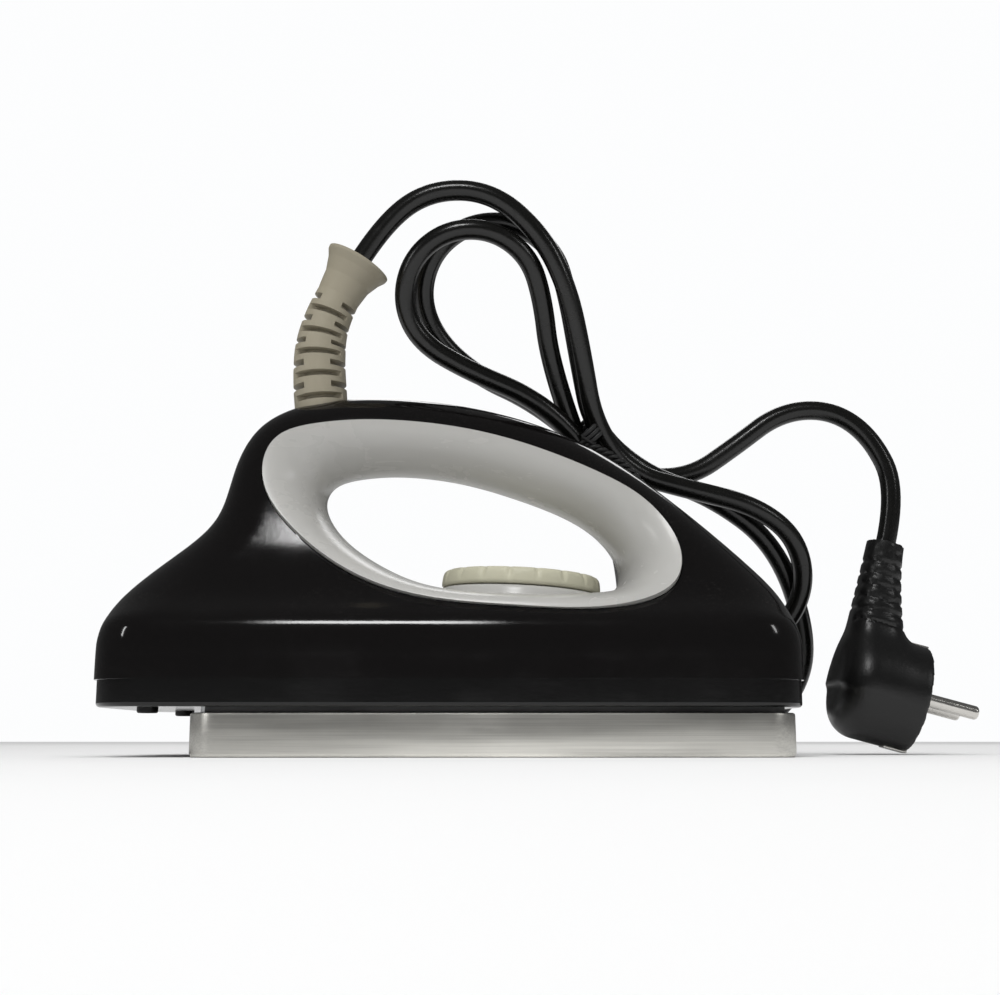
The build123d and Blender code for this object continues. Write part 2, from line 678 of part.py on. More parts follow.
# ---- free cord, hank and plug --------------------------------------------------------------
def hank_plane():
    """The leaning plane: x towards the heel, y up the slope, z away from the iron."""
    lean = math.radians(HANK_LEAN)
    normal = (0, math.cos(lean), math.sin(lean))
    foot = (0, HANK_PLANE / math.cos(lean), 0)
    return Plane(origin=foot, x_dir=(-1, 0, 0), z_dir=normal)


def make_hank():
    slope = math.cos(math.radians(HANK_LEAN))
    with BuildPart() as hank:
        with BuildSketch(hank_plane().offset(-CORD / 2)):
            with BuildLine():
                Spline(*[(-x, z / slope) for x, z in HANK_OUTLINE], periodic=True)
            make_face()
        extrude(amount=2 * HANK_LAYER + CORD)
    save(hank, "cord_hank")


def make_tie():
    """A coated wire ring round the bundle and its twisted tail, clear of the handle's crown."""
    lean = math.radians(HANK_LEAN)
    turn = math.radians(TIE_TURN)
    x, z = TIE_AT
    middle = HANK_PLANE + HANK_LAYER
    centre = Vector(x, (middle - math.sin(lean) * z) / math.cos(lean), z)
    up_slope = Vector(0, -math.sin(lean), math.cos(lean))
    along = Vector(1, 0, 0) * math.cos(turn) - up_slope * math.sin(turn)
    across = Vector(1, 0, 0) * math.sin(turn) + up_slope * math.cos(turn)
    with BuildPart() as tie:
        with BuildSketch(Plane(origin=centre - along * TIE_WIRE / 2, x_dir=across, z_dir=along)):
            RectangleRounded(TIE_INSIDE[0] + 2 * TIE_WIRE, TIE_INSIDE[1] + 2 * TIE_WIRE,
                             TIE_CORNER + TIE_WIRE)
            RectangleRounded(*TIE_INSIDE, TIE_CORNER, mode=Mode.SUBTRACT)
        extrude(amount=TIE_WIRE)
        knot = centre + along.cross(across) * -0.5 * (TIE_INSIDE[1] + TIE_WIRE)
        knot = knot if knot.Y < centre.Y else centre * 2 - knot
        with BuildSketch(Plane(origin=knot, z_dir=TIE_TAIL_WAY)):
            Circle(TIE_TAIL_RADIUS)
        extrude(amount=TIE_TAIL)
        fillet(tie.edges().group_by(Axis.Z)[0], 0.8)
    save(tie, "cord_tie")


def plug_plane(x_step=0.0, z_step=0.0, pointing="arm"):
    """A plane in the plug's own frame: x along the pins, z along the arm, leaning over."""
    tilt = math.radians(PLUG_TILT)
    along = Vector(math.cos(tilt), 0, -math.sin(tilt))
    up = Vector(math.sin(tilt), 0, math.cos(tilt))
    origin = Vector(*PLUG_CENTRE) + along * x_step + up * z_step
    if pointing == "arm":
        return Plane(origin=origin, x_dir=along, z_dir=up)
    return Plane(origin=origin, x_dir=(0, 1, 0), z_dir=along)


def make_plug():
    with BuildPart() as plug:
        with BuildSketch(plug_plane(PLUG_BACK, pointing="pins")):
            Circle(PLUG_HEAD_RADIUS)
        extrude(amount=PLUG_FACE - PLUG_BACK)
        chamfer(plug.faces().sort_by(Axis.X)[0].edges(), PLUG_CHAMFER)
        with BuildSketch(plug_plane(-2.5, 4)):
            RectangleRounded(25, 30, 6)
        with BuildSketch(plug_plane(-5, 24)):
            RectangleRounded(20, 20, 6)
        with BuildSketch(plug_plane(*ARM_TOP)):
            Circle(ARM_TOP_RADIUS)
        loft()
        with BuildSketch(plug_plane(PLUG_FACE, pointing="pins")):
            with Locations((-PLUG_PIN_SPACING / 2, 0), (PLUG_PIN_SPACING / 2, 0)):
                Circle(PLUG_PIN_RADIUS)
        extrude(amount=-10, mode=Mode.SUBTRACT)
    save(plug, "plug_body")
    with BuildPart() as clips:
        for side in (-1, 1):
            with BuildSketch(plug_plane(5.5, pointing="pins")):
                with Locations((0, side * (PLUG_HEAD_RADIUS - 0.5))):
                    Rectangle(6, 1.4)
            extrude(amount=8.2)
    save(clips, "plug_earth_clips")
    with BuildPart() as pins:
        with BuildSketch(plug_plane(4, pointing="pins")):
            with Locations((-PLUG_PIN_SPACING / 2, 0), (PLUG_PIN_SPACING / 2, 0)):
                Circle(PLUG_PIN_RADIUS)
        extrude(amount=10 + PLUG_PIN_LENGTH)
        fillet(pins.edges().group_by(Axis.X)[-1], 1.2)
    save(pins, "plug_pins")


def make_free_cord():
    save(round_tube(ARCH_ROUTE, CORD, "cord_arch"), "cord_arch")
    arm_top = plug_plane(*ARM_TOP)
    lead_in = arm_top.origin + arm_top.z_dir * CORD_LEAD_IN
    route = TAIL_ROUTE + [tuple(lead_in), tuple(arm_top.origin)]
    save(round_tube(route, CORD, "cord_tail"), "cord_tail")


def main():
    make_sole_plate()
    make_heater()
    make_heater_clamps()
    make_heat_shield()
    make_base_skirt()
    make_upper_shell()
    make_liners()
    make_cord_guard()
    make_cord_path()
    make_terminal_block()
    make_wires()
    make_thermostat()
    make_dial()
    make_hank()
    make_tie()
    make_plug()
    make_free_cord()


main()
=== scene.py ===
"""Looks of the waxing iron: smooth moulded shells, lined finger opening, slotted cord guard,
tied mains cord with an angled plug, and a procedural finish for every piece."""

from __future__ import annotations

import json
import logging
import math
from dataclasses import dataclass, field
from enum import Enum
from typing import Callable, Iterable, Optional, Sequence

import bmesh
import bpy
import numpy as np
from mathutils import Matrix, Vector


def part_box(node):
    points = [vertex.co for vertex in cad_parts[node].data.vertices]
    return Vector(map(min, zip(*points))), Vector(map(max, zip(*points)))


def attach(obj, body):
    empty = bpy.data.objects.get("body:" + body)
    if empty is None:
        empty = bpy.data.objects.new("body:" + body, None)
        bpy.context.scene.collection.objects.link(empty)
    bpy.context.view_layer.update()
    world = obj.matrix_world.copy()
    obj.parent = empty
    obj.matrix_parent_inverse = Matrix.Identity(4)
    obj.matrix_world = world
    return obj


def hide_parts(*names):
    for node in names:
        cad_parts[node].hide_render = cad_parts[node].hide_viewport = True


LOG = logging.getLogger("waxing_iron")
MM = 0.001
BODY = "iron"
BATCH = 20000            # points measured at a time
SETTLE_PASSES = 6        # steps that pull a mesh on to its surface
LEAST_SLOPE = 0.2        # squared, keeps those steps short where the field is flat
HALVINGS = 26            # of a search for the skin
Point = tuple[float, float, float]

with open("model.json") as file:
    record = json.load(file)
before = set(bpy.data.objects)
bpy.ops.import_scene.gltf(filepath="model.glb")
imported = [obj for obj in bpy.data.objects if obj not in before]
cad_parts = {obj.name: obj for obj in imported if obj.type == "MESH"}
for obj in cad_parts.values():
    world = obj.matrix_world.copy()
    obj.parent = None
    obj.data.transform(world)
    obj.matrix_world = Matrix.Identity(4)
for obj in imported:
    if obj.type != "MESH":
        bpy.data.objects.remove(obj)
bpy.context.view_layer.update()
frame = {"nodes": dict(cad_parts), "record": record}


# ---- small helpers ----------------------------------------------------------------------


def mesh_piece(name: str, verts: np.ndarray, faces: Iterable[Sequence[int]]
               ) -> bpy.types.Object:
    """Make a mesh object from points in millimetres.

    Args:
        name: Name of the piece.
        verts: Points, one row each.
        faces: Corner indices of each face.

    Returns:
        The new object, linked to the scene.
    """
    mesh = bpy.data.meshes.new(name)
    mesh.from_pydata((np.asarray(verts) * MM).tolist(), [], [tuple(map(int, f)) for f in faces])
    mesh.validate()
    mesh.polygons.foreach_set("use_smooth", [True] * len(mesh.polygons))
    mesh.update()
    piece = bpy.data.objects.new(name, mesh)
    bpy.context.scene.collection.objects.link(piece)
    return piece


def sharpen(piece: bpy.types.Object, degrees: float = 38.0) -> None:
    """Keep edges steeper than an angle crisp.

    Args:
        piece: A mesh object.
        degrees: The angle between faces.
    """
    mesh = piece.data
    work = bmesh.new()
    work.from_mesh(mesh)
    for edge in work.edges:
        if len(edge.link_faces) == 2:
            edge.smooth = edge.calc_face_angle(0.0) < math.radians(degrees)
    work.to_mesh(mesh)
    work.free()


def curve_points(points: Sequence[Sequence[float]], count: int, closed: bool = False) -> np.ndarray:
    """Points evenly spaced in parameter on a smooth cubic through the given ones.

    Args:
        points: Points to pass through.
        count: How many points to return.
        closed: Whether the curve returns to its start.

    Returns:
        The points on the curve.
    """
    p = np.asarray(points, float)
    if closed:
        p = np.vstack([p, p[:1]])
    chord = np.r_[0, np.cumsum(np.sqrt(np.linalg.norm(np.diff(p, axis=0), axis=1)))]
    n = len(p)
    step = np.diff(chord)
    system = np.zeros((n, n))
    right = np.zeros_like(p)
    for i in range(1, n - 1):
        system[i, i - 1: i + 2] = (step[i - 1], 2 * (step[i - 1] + step[i]), step[i])
        right[i] = 6 * ((p[i + 1] - p[i]) / step[i] - (p[i] - p[i - 1]) / step[i - 1])
    if closed:
        system[0, 0], system[0, -1] = 1, -1
        system[-1, [0, 1, -2, -1]] = (2 * step[0], step[0], step[-1], 2 * step[-1])
        right[-1] = 6 * ((p[1] - p[0]) / step[0] - (p[-1] - p[-2]) / step[-1])
    else:
        system[0, 0] = system[-1, -1] = 1
    bend = np.linalg.solve(system, right)
    t = np.linspace(0, chord[-1], count, endpoint=not closed)
    i = np.clip(np.searchsorted(chord, t, side="right") - 1, 0, n - 2)
    a, b = (chord[i + 1] - t)[:, None], (t - chord[i])[:, None]
    h = step[i][:, None]
    return ((bend[i] * a ** 3 + bend[i + 1] * b ** 3) / (6 * h)
            + (p[i] / h - bend[i] * h / 6) * a + (p[i + 1] / h - bend[i + 1] * h / 6) * b)


class Profile:
    """A smooth line in a plane, with the solid on its right as it runs."""

    def __init__(self, line: np.ndarray) -> None:
        """Keep the line and a normal at each of its points.

        Args:
            line: Points along the line, one row each.
        """
        self.line = line
        run = np.gradient(line, axis=0)
        normal = np.stack([-run[:, 1], run[:, 0]], axis=1)
        self.normal = normal / np.linalg.norm(normal, axis=1)[:, None]

    def measure(self, points: np.ndarray) -> tuple[np.ndarray, np.ndarray]:
        """Signed distance, positive outside, and outward normal, for each point.

        Args:
            points: Points in the plane, one row each.

        Returns:
            The distances and the normals.
        """
        start, step = self.line[:-1], np.diff(self.line, axis=0)
        square = (step ** 2).sum(1)
        gap = np.empty(len(points))
        out = np.empty((len(points), 2))
        for low in range(0, len(points), BATCH):
            q = points[low: low + BATCH]
            rel = q[:, None, :] - start[None]
            share = np.clip((rel * step).sum(2) / square, 0, 1)
            away = rel - share[..., None] * step
            best = (away ** 2).sum(2).argmin(1)
            row = np.arange(len(q))
            s = share[row, best][:, None]
            normal = self.normal[best] * (1 - s) + self.normal[best + 1] * s
            offset = away[row, best]
            length = np.linalg.norm(offset, axis=1)
            gap[low: low + BATCH] = length * np.where((offset * normal).sum(1) < 0, -1, 1)
            out[low: low + BATCH] = normal
        return gap, out


def blend_max(a: np.ndarray, b: np.ndarray, reach: float) -> tuple[np.ndarray, np.ndarray]:
    """The larger of two distances with a rounded edge, and the first one's share of it."""
    h = np.maximum(reach - np.abs(a - b), 0) / reach
    return np.maximum(a, b) + h * h * reach / 4, np.where(a > b, 1 - h / 2, h / 2)


Field = Callable[[np.ndarray], tuple[np.ndarray, np.ndarray]]


def surface_of(solid: Field, low: Point, high: Point, step: float
               ) -> tuple[np.ndarray, np.ndarray]:
    """Quads on the surface of a solid that is given as a distance field.

    Args:
        solid: Distance and gradient at points.
        low: Lowest corner of the search box.
        high: Highest corner of the search box.
        step: Cell size in millimetres.

    Returns:
        Points that lie on the surface, and the quads between them.
    """
    axes = [np.arange(a, b + step, step) for a, b in zip(low, high)]
    grid = np.stack(np.meshgrid(*axes, indexing="ij"), axis=-1)
    shape = grid.shape[:3]
    value = solid(grid.reshape(-1, 3))[0].reshape(shape)
    inside = value < 0
    total = np.zeros(tuple(n - 1 for n in shape) + (3,))
    count = np.zeros(tuple(n - 1 for n in shape))
    crossings = []
    for axis in range(3):
        first = [slice(None)] * 3
        second = [slice(None)] * 3
        first[axis], second[axis] = slice(0, -1), slice(1, None)
        change = inside[tuple(first)] != inside[tuple(second)]
        where = np.argwhere(change)
        a = value[tuple(first)][change]
        b = value[tuple(second)][change]
        spot = grid[tuple(first)][change] + (a / (a - b))[:, None] * np.eye(3)[axis] * step
        crossings.append((axis, where, inside[tuple(first)][change]))
        u, v = [k for k in range(3) if k != axis]
        for du in (0, 1):
            for dv in (0, 1):
                cell = where.copy()
                cell[:, u] -= du
                cell[:, v] -= dv
                ok = ((cell >= 0) & (cell < np.array(total.shape[:3]))).all(1)
                np.add.at(total, tuple(cell[ok].T), spot[ok])
                np.add.at(count, tuple(cell[ok].T), 1)
    used = count > 0
    index = -np.ones(count.shape, int)
    index[used] = np.arange(used.sum())
    verts = total[used] / count[used][:, None]
    quads = []
    for axis, where, solid_first in crossings:
        u, v = [(1, 2), (2, 0), (0, 1)][axis]
        corners = []
        for du, dv in ((1, 1), (0, 1), (0, 0), (1, 0)):
            cell = where.copy()
            cell[:, u] -= du
            cell[:, v] -= dv
            known = ((cell >= 0) & (cell < np.array(index.shape))).all(1)
            corners.append(np.where(known, index[tuple(np.where(known[:, None], cell, 0).T)], -1))
        quad = np.stack(corners, axis=1)
        quad[~solid_first] = quad[~solid_first][:, ::-1]
        quads.append(quad[(quad >= 0).all(1)])
    for _ in range(SETTLE_PASSES):
        gap, slope = solid(verts)
        verts = verts - slope * (gap / (slope ** 2).sum(1).clip(LEAST_SLOPE))[:, None]
    return verts, np.vstack(quads)


def cut_away(verts: np.ndarray, faces: list[tuple[int, ...]], keep: np.ndarray
             ) -> tuple[np.ndarray, list[tuple[int, ...]]]:
    """Keep the part of a mesh where a value at its points is positive.

    Args:
        verts: Points.
        faces: Faces of three or more corners.
        keep: The value at each point.

    Returns:
        Points and faces of what is left.
    """
    points = [tuple(p) for p in verts]
    made: dict[tuple[int, int], int] = {}
    kept = []

    def crossing(a: int, b: int) -> int:
        """The point where an edge crosses the boundary.

        Args:
            a: One end of the edge.
            b: Its other end.

        Returns:
            Index of the point.
        """
        key = (min(a, b), max(a, b))
        if key not in made:
            a, b = key
            share = float(np.clip(keep[a] / (keep[a] - keep[b]), 0.001, 0.999))
            points.append(tuple(np.add(points[a], np.subtract(points[b], points[a]) * share)))
            made[key] = len(points) - 1
        return made[key]

    for face in faces:
        signs = [keep[i] > 0 for i in face]
        if all(signs):
            kept.append(tuple(face))
            continue
        if not any(signs):
            continue
        ring = []
        for k, i in enumerate(face):
            j = face[(k + 1) % len(face)]
            if signs[k]:
                ring.append(i)
            if signs[k] != signs[(k + 1) % len(face)]:
                ring.append(crossing(i, j))
        if len(ring) >= 3:
            kept.append(tuple(ring))
    used = sorted({i for f in kept for i in f})
    order = {old: new for new, old in enumerate(used)}
    return np.array([points[i] for i in used]), [tuple(order[i] for i in f) for f in kept]


def thicken(verts: np.ndarray, faces: list[tuple[int, ...]], normals: np.ndarray,
            wall: float) -> tuple[np.ndarray, list[tuple[int, ...]]]:
    """Give an open skin a second side and close its borders.

    Args:
        verts: Points of the outer side.
        faces: Faces of the outer side.
        normals: Outward normal at each point.
        wall: Thickness, measured inwards.

    Returns:
        Points and faces of the closed wall.
    """
    count = len(verts)
    both = np.vstack([verts, verts - normals * wall])
    inner = [tuple(i + count for i in reversed(f)) for f in faces]
    edges: dict[tuple[int, int], int] = {}
    for f in faces:
        for a, b in zip(f, f[1:] + f[:1]):
            edges[(a, b)] = edges.get((a, b), 0) + 1
    border = [(b, a, a + count, b + count) for (a, b) in edges if (b, a) not in edges]
    return both, list(faces) + inner + border


# ---- finishes ---------------------------------------------------------------------------


class NodeTree:
    """A node tree with short ways to add and join nodes."""

    def __init__(self, tree: bpy.types.NodeTree) -> None:
        """Wrap a tree."""
        self.tree = tree

    def add(self, kind: str, **values: object) -> bpy.types.Node:
        """Add a node; a value is an attribute, or with a leading i an input by its number.

        Args:
            kind: The node's type.
            values: Attributes or inputs to set.

        Returns:
            The new node.
        """
        node = self.tree.nodes.new(kind)
        for key, value in values.items():
            if key.startswith("i") and key[1:].isdigit():
                node.inputs[int(key[1:])].default_value = value
            else:
                setattr(node, key, value)
        return node

    def join(self, source: bpy.types.NodeSocket, target: bpy.types.NodeSocket) -> None:
        """Link two sockets."""
        self.tree.links.new(source, target)

    def math(self, operation: str, a: object, b: object = 0.0) -> bpy.types.NodeSocket:
        """A math node fed by sockets or numbers.

        Args:
            operation: What the node does.
            a: First socket or number.
            b: Second socket or number.

        Returns:
            The result's socket.
        """
        node = self.add("ShaderNodeMath", operation=operation)
        for socket, value in zip(node.inputs, (a, b)):
            if isinstance(value, bpy.types.NodeSocket):
                self.join(value, socket)
            else:
                socket.default_value = value
        return node.outputs[0]

    def noise(self, vector: bpy.types.NodeSocket, scale: object, detail: float = 3.0,
              roughness: float = 0.55) -> bpy.types.NodeSocket:
        """A noise value; the scale is a number or a socket.

        Args:
            vector: Where the noise is read.
            scale: Its scale.
            detail: Its number of octaves.
            roughness: The weight of the finer octaves.

        Returns:
            The value's socket.
        """
        node = self.add("ShaderNodeTexNoise")
        node.inputs["Detail"].default_value = detail
        node.inputs["Roughness"].default_value = roughness
        self.join(vector, node.inputs["Vector"])
        if isinstance(scale, bpy.types.NodeSocket):
            self.join(scale, node.inputs["Scale"])
        else:
            node.inputs["Scale"].default_value = scale
        return node.outputs[0]

    def ramp(self, value: bpy.types.NodeSocket, low: float, high: float) -> bpy.types.NodeSocket:
        """Map a value from low..high to 0..1 with soft ends.

        Args:
            value: The value to map.
            low: What becomes 0.
            high: What becomes 1.

        Returns:
            The result's socket.
        """
        node = self.add("ShaderNodeMapRange", interpolation_type="SMOOTHSTEP")
        self.join(value, node.inputs["Value"])
        node.inputs["From Min"].default_value = low
        node.inputs["From Max"].default_value = high
        return node.outputs[0]


def make_group(name: str, inputs: dict[str, tuple[str, object]], outputs: dict[str, str]
               ) -> tuple[NodeTree, bpy.types.Node, bpy.types.Node]:
    """A new shader node group with named sockets.

    Args:
        name: The group's name.
        inputs: Socket type and default for each input.
        outputs: Socket type for each output.

    Returns:
        The tree, its input node and its output node.
    """
    group = bpy.data.node_groups.new(name, "ShaderNodeTree")
    for label, (kind, default) in inputs.items():
        socket = group.interface.new_socket(name=label, in_out="INPUT", socket_type=kind)
        socket.default_value = default
    for label, kind in outputs.items():
        group.interface.new_socket(name=label, in_out="OUTPUT", socket_type=kind)
    tree = NodeTree(group)
    return tree, tree.add("NodeGroupInput"), tree.add("NodeGroupOutput")


def moulded_grain() -> bpy.types.NodeTree:
    """Fine orange peel and handling smears of a moulded surface.

    Returns:
        The group.
    """
    tree, given, out = make_group(
        "moulded_grain",
        {"Vector": ("NodeSocketVector", (0, 0, 0)), "Scale": ("NodeSocketFloat", 900.0),
         "Smear": ("NodeSocketFloat", 0.1)},
        {"Height": "NodeSocketFloat", "Roughness": "NodeSocketFloat"})
    fine = tree.noise(given.outputs["Vector"], given.outputs["Scale"], 2.0)
    tree.join(fine, out.inputs["Height"])
    broad = tree.ramp(tree.noise(given.outputs["Vector"], 38.0, 5.0), 0.42, 0.72)
    streak = tree.add("ShaderNodeMapping")
    streak.inputs["Scale"].default_value = (60.0, 260.0, 260.0)
    tree.join(given.outputs["Vector"], streak.inputs["Vector"])
    wiped = tree.ramp(tree.noise(streak.outputs[0], 1.0, 3.0), 0.5, 0.8)
    smear = tree.math("MULTIPLY", tree.math("ADD", broad, wiped), given.outputs["Smear"])
    tree.join(smear, out.inputs["Roughness"])
    return tree.tree


def brushed_lines() -> bpy.types.NodeTree:
    """Long fine lines of a linished metal face, a few deeper scratches, and painted reflection
    patches.

    Returns:
        The group.
    """
    tree, given, out = make_group(
        "brushed_lines",
        {"Vector": ("NodeSocketVector", (0, 0, 0)), "Lines": ("NodeSocketFloat", 1.0)},
        {"Height": "NodeSocketFloat", "Shade": "NodeSocketFloat"})
    stretch = tree.add("ShaderNodeMapping")
    stretch.inputs["Scale"].default_value = (14.0, 1700.0, 1700.0)
    tree.join(given.outputs["Vector"], stretch.inputs["Vector"])
    lines = tree.noise(stretch.outputs[0], given.outputs["Lines"], 4.0, 0.7)
    coarse = tree.add("ShaderNodeMapping")
    coarse.inputs["Scale"].default_value = (9.0, 420.0, 420.0)
    coarse.inputs["Rotation"].default_value = (0.0, 0.02, 0.03)
    tree.join(given.outputs["Vector"], coarse.inputs["Vector"])
    scratch = tree.ramp(tree.noise(coarse.outputs[0], 1.0, 2.0), 0.66, 0.72)
    height = tree.math("SUBTRACT", lines, tree.math("MULTIPLY", scratch, 0.5))
    tree.join(height, out.inputs["Height"])
    # Painted reflection: broad lighter and darker patches stretched along the plate, summed into
    # Shade and so into the colour.
    long = tree.add("ShaderNodeMapping")
    long.inputs["Scale"].default_value = (11.0, 40.0, 120.0)
    tree.join(given.outputs["Vector"], long.inputs["Vector"])
    painted_reflection_patches = tree.ramp(tree.noise(long.outputs[0], 1.0, 2.0), 0.3, 0.7)
    shade = tree.math("ADD", tree.math("MULTIPLY", lines, 0.9),
                      tree.math("MULTIPLY", painted_reflection_patches, 0.55))
    tree.join(shade, out.inputs["Shade"])
    return tree.tree


def settled_dust() -> bpy.types.NodeTree:
    """A thin speckle of dust that gathers on faces that look up.

    Returns:
        The group.
    """
    tree, given, out = make_group(
        "settled_dust",
        {"Vector": ("NodeSocketVector", (0, 0, 0)), "Colour": ("NodeSocketColor", (0, 0, 0, 1)),
         "Amount": ("NodeSocketFloat", 0.1)},
        {"Colour": "NodeSocketColor", "Mask": "NodeSocketFloat"})
    facing = tree.add("ShaderNodeSeparateXYZ")
    tree.join(tree.add("ShaderNodeNewGeometry").outputs["Normal"], facing.inputs[0])
    up = tree.ramp(facing.outputs["Z"], 0.1, 1.0)
    specks = tree.ramp(tree.noise(given.outputs["Vector"], 1500.0, 1.0), 0.62, 0.74)
    cloud = tree.ramp(tree.noise(given.outputs["Vector"], 45.0, 4.0), 0.35, 0.75)
    mask = tree.math("MULTIPLY", tree.math("MULTIPLY", specks, cloud), up)
    mask = tree.math("MULTIPLY", mask, given.outputs["Amount"])
    tree.join(mask, out.inputs["Mask"])
    mix = tree.add("ShaderNodeMix", data_type="RGBA")
    tree.join(mask, mix.inputs["Factor"])
    tree.join(given.outputs["Colour"], mix.inputs["A"])
    mix.inputs["B"].default_value = (0.55, 0.53, 0.5, 1)
    tree.join(mix.outputs["Result"], out.inputs["Colour"])
    return tree.tree


def edge_rub() -> bpy.types.NodeTree:
    """A mask of the outer edges, broken up as handling rubs them.

    Returns:
        The group.
    """
    tree, given, out = make_group(
        "edge_rub", {"Vector": ("NodeSocketVector", (0, 0, 0)), "Amount": ("NodeSocketFloat", 0.3)},
        {"Mask": "NodeSocketFloat"})
    edges = tree.ramp(tree.add("ShaderNodeNewGeometry").outputs["Pointiness"], 0.52, 0.6)
    broken = tree.ramp(tree.noise(given.outputs["Vector"], 260.0, 4.0), 0.4, 0.7)
    mask = tree.math("MULTIPLY", tree.math("MULTIPLY", edges, broken), given.outputs["Amount"])
    tree.join(mask, out.inputs["Mask"])
    return tree.tree


@dataclass(frozen=True)
class Finish:
    """One finish: colour, gloss and the scale of its surface detail."""

    name: str
    colour: tuple[float, float, float]
    rough: float
    metal: float = 0.0
    grain: float = 900.0
    depth: float = 0.02
    smear: float = 0.06
    mottle: float = 0.06
    dust: float = 0.0
    rub: float = 0.0
    rub_colour: tuple[float, float, float] = (0.5, 0.5, 0.5)
    # Scale of the brushed lines; it also switches on the painted reflection patches in the colour.
    brushed_and_painted_reflection: float = 0.0
    ior: float = 1.5

    def build(self, groups: dict[str, bpy.types.NodeTree]) -> bpy.types.Material:
        """The finish as a node material.

        Args:
            groups: The shared node groups by name.

        Returns:
            The material.
        """
        material = bpy.data.materials.new(self.name)
        material.use_nodes = True
        tree = NodeTree(material.node_tree)
        shader = material.node_tree.nodes["Principled BSDF"]
        shader.inputs["Metallic"].default_value = self.metal
        shader.inputs["IOR"].default_value = self.ior
        place = tree.add("ShaderNodeTexCoord").outputs["Object"]

        def group(name: str, **values: object) -> bpy.types.Node:
            """Place a shared group and feed it.

            Args:
                name: The group's name.
                values: What its inputs get.

            Returns:
                The group's node.
            """
            node = tree.add("ShaderNodeGroup", node_tree=groups[name])
            tree.join(place, node.inputs["Vector"])
            for key, value in values.items():
                if isinstance(value, bpy.types.NodeSocket):
                    tree.join(value, node.inputs[key])
                else:
                    node.inputs[key].default_value = value
            return node

        tint = tree.add("ShaderNodeMix", data_type="RGBA")
        tree.join(tree.noise(place, 70.0, 4.0), tint.inputs["Factor"])
        darker = tuple(c * (1 - self.mottle) for c in self.colour)
        lighter = tuple(min(c * (1 + self.mottle), 1) for c in self.colour)
        tint.inputs["A"].default_value = darker + (1,)
        tint.inputs["B"].default_value = lighter + (1,)
        colour = tint.outputs["Result"]
        grain = group("moulded_grain", Scale=self.grain, Smear=self.smear)
        height, rough = grain.outputs["Height"], grain.outputs["Roughness"]
        if self.brushed_and_painted_reflection:
            lines = group("brushed_lines", Lines=self.brushed_and_painted_reflection)
            height = lines.outputs["Height"]
            # Brushed lines and broad painted reflection patches are multiplied into the colour.
            shade = tree.add("ShaderNodeMix", data_type="RGBA", blend_type="MULTIPLY")
            shade.inputs["Factor"].default_value = 0.6
            tree.join(colour, shade.inputs["A"])
            tree.join(lines.outputs["Shade"], shade.inputs["B"])
            colour = shade.outputs["Result"]
        if self.rub:
            rub = group("edge_rub", Amount=self.rub).outputs["Mask"]
            worn = tree.add("ShaderNodeMix", data_type="RGBA")
            tree.join(rub, worn.inputs["Factor"])
            tree.join(colour, worn.inputs["A"])
            worn.inputs["B"].default_value = self.rub_colour + (1,)
            colour = worn.outputs["Result"]
            rough = tree.math("ADD", rough, tree.math("MULTIPLY", rub, 0.3))
        if self.dust:
            dust = group("settled_dust", Colour=colour, Amount=self.dust)
            colour = dust.outputs["Colour"]
            rough = tree.math("ADD", rough, tree.math("MULTIPLY", dust.outputs["Mask"], 0.5))
        tree.join(colour, shader.inputs["Base Color"])
        tree.join(tree.math("ADD", rough, self.rough), shader.inputs["Roughness"])
        bump = tree.add("ShaderNodeBump")
        bump.inputs["Strength"].default_value = self.depth
        bump.inputs["Distance"].default_value = 0.001
        tree.join(height, bump.inputs["Height"])
        tree.join(bump.outputs["Normal"], shader.inputs["Normal"])
        return material


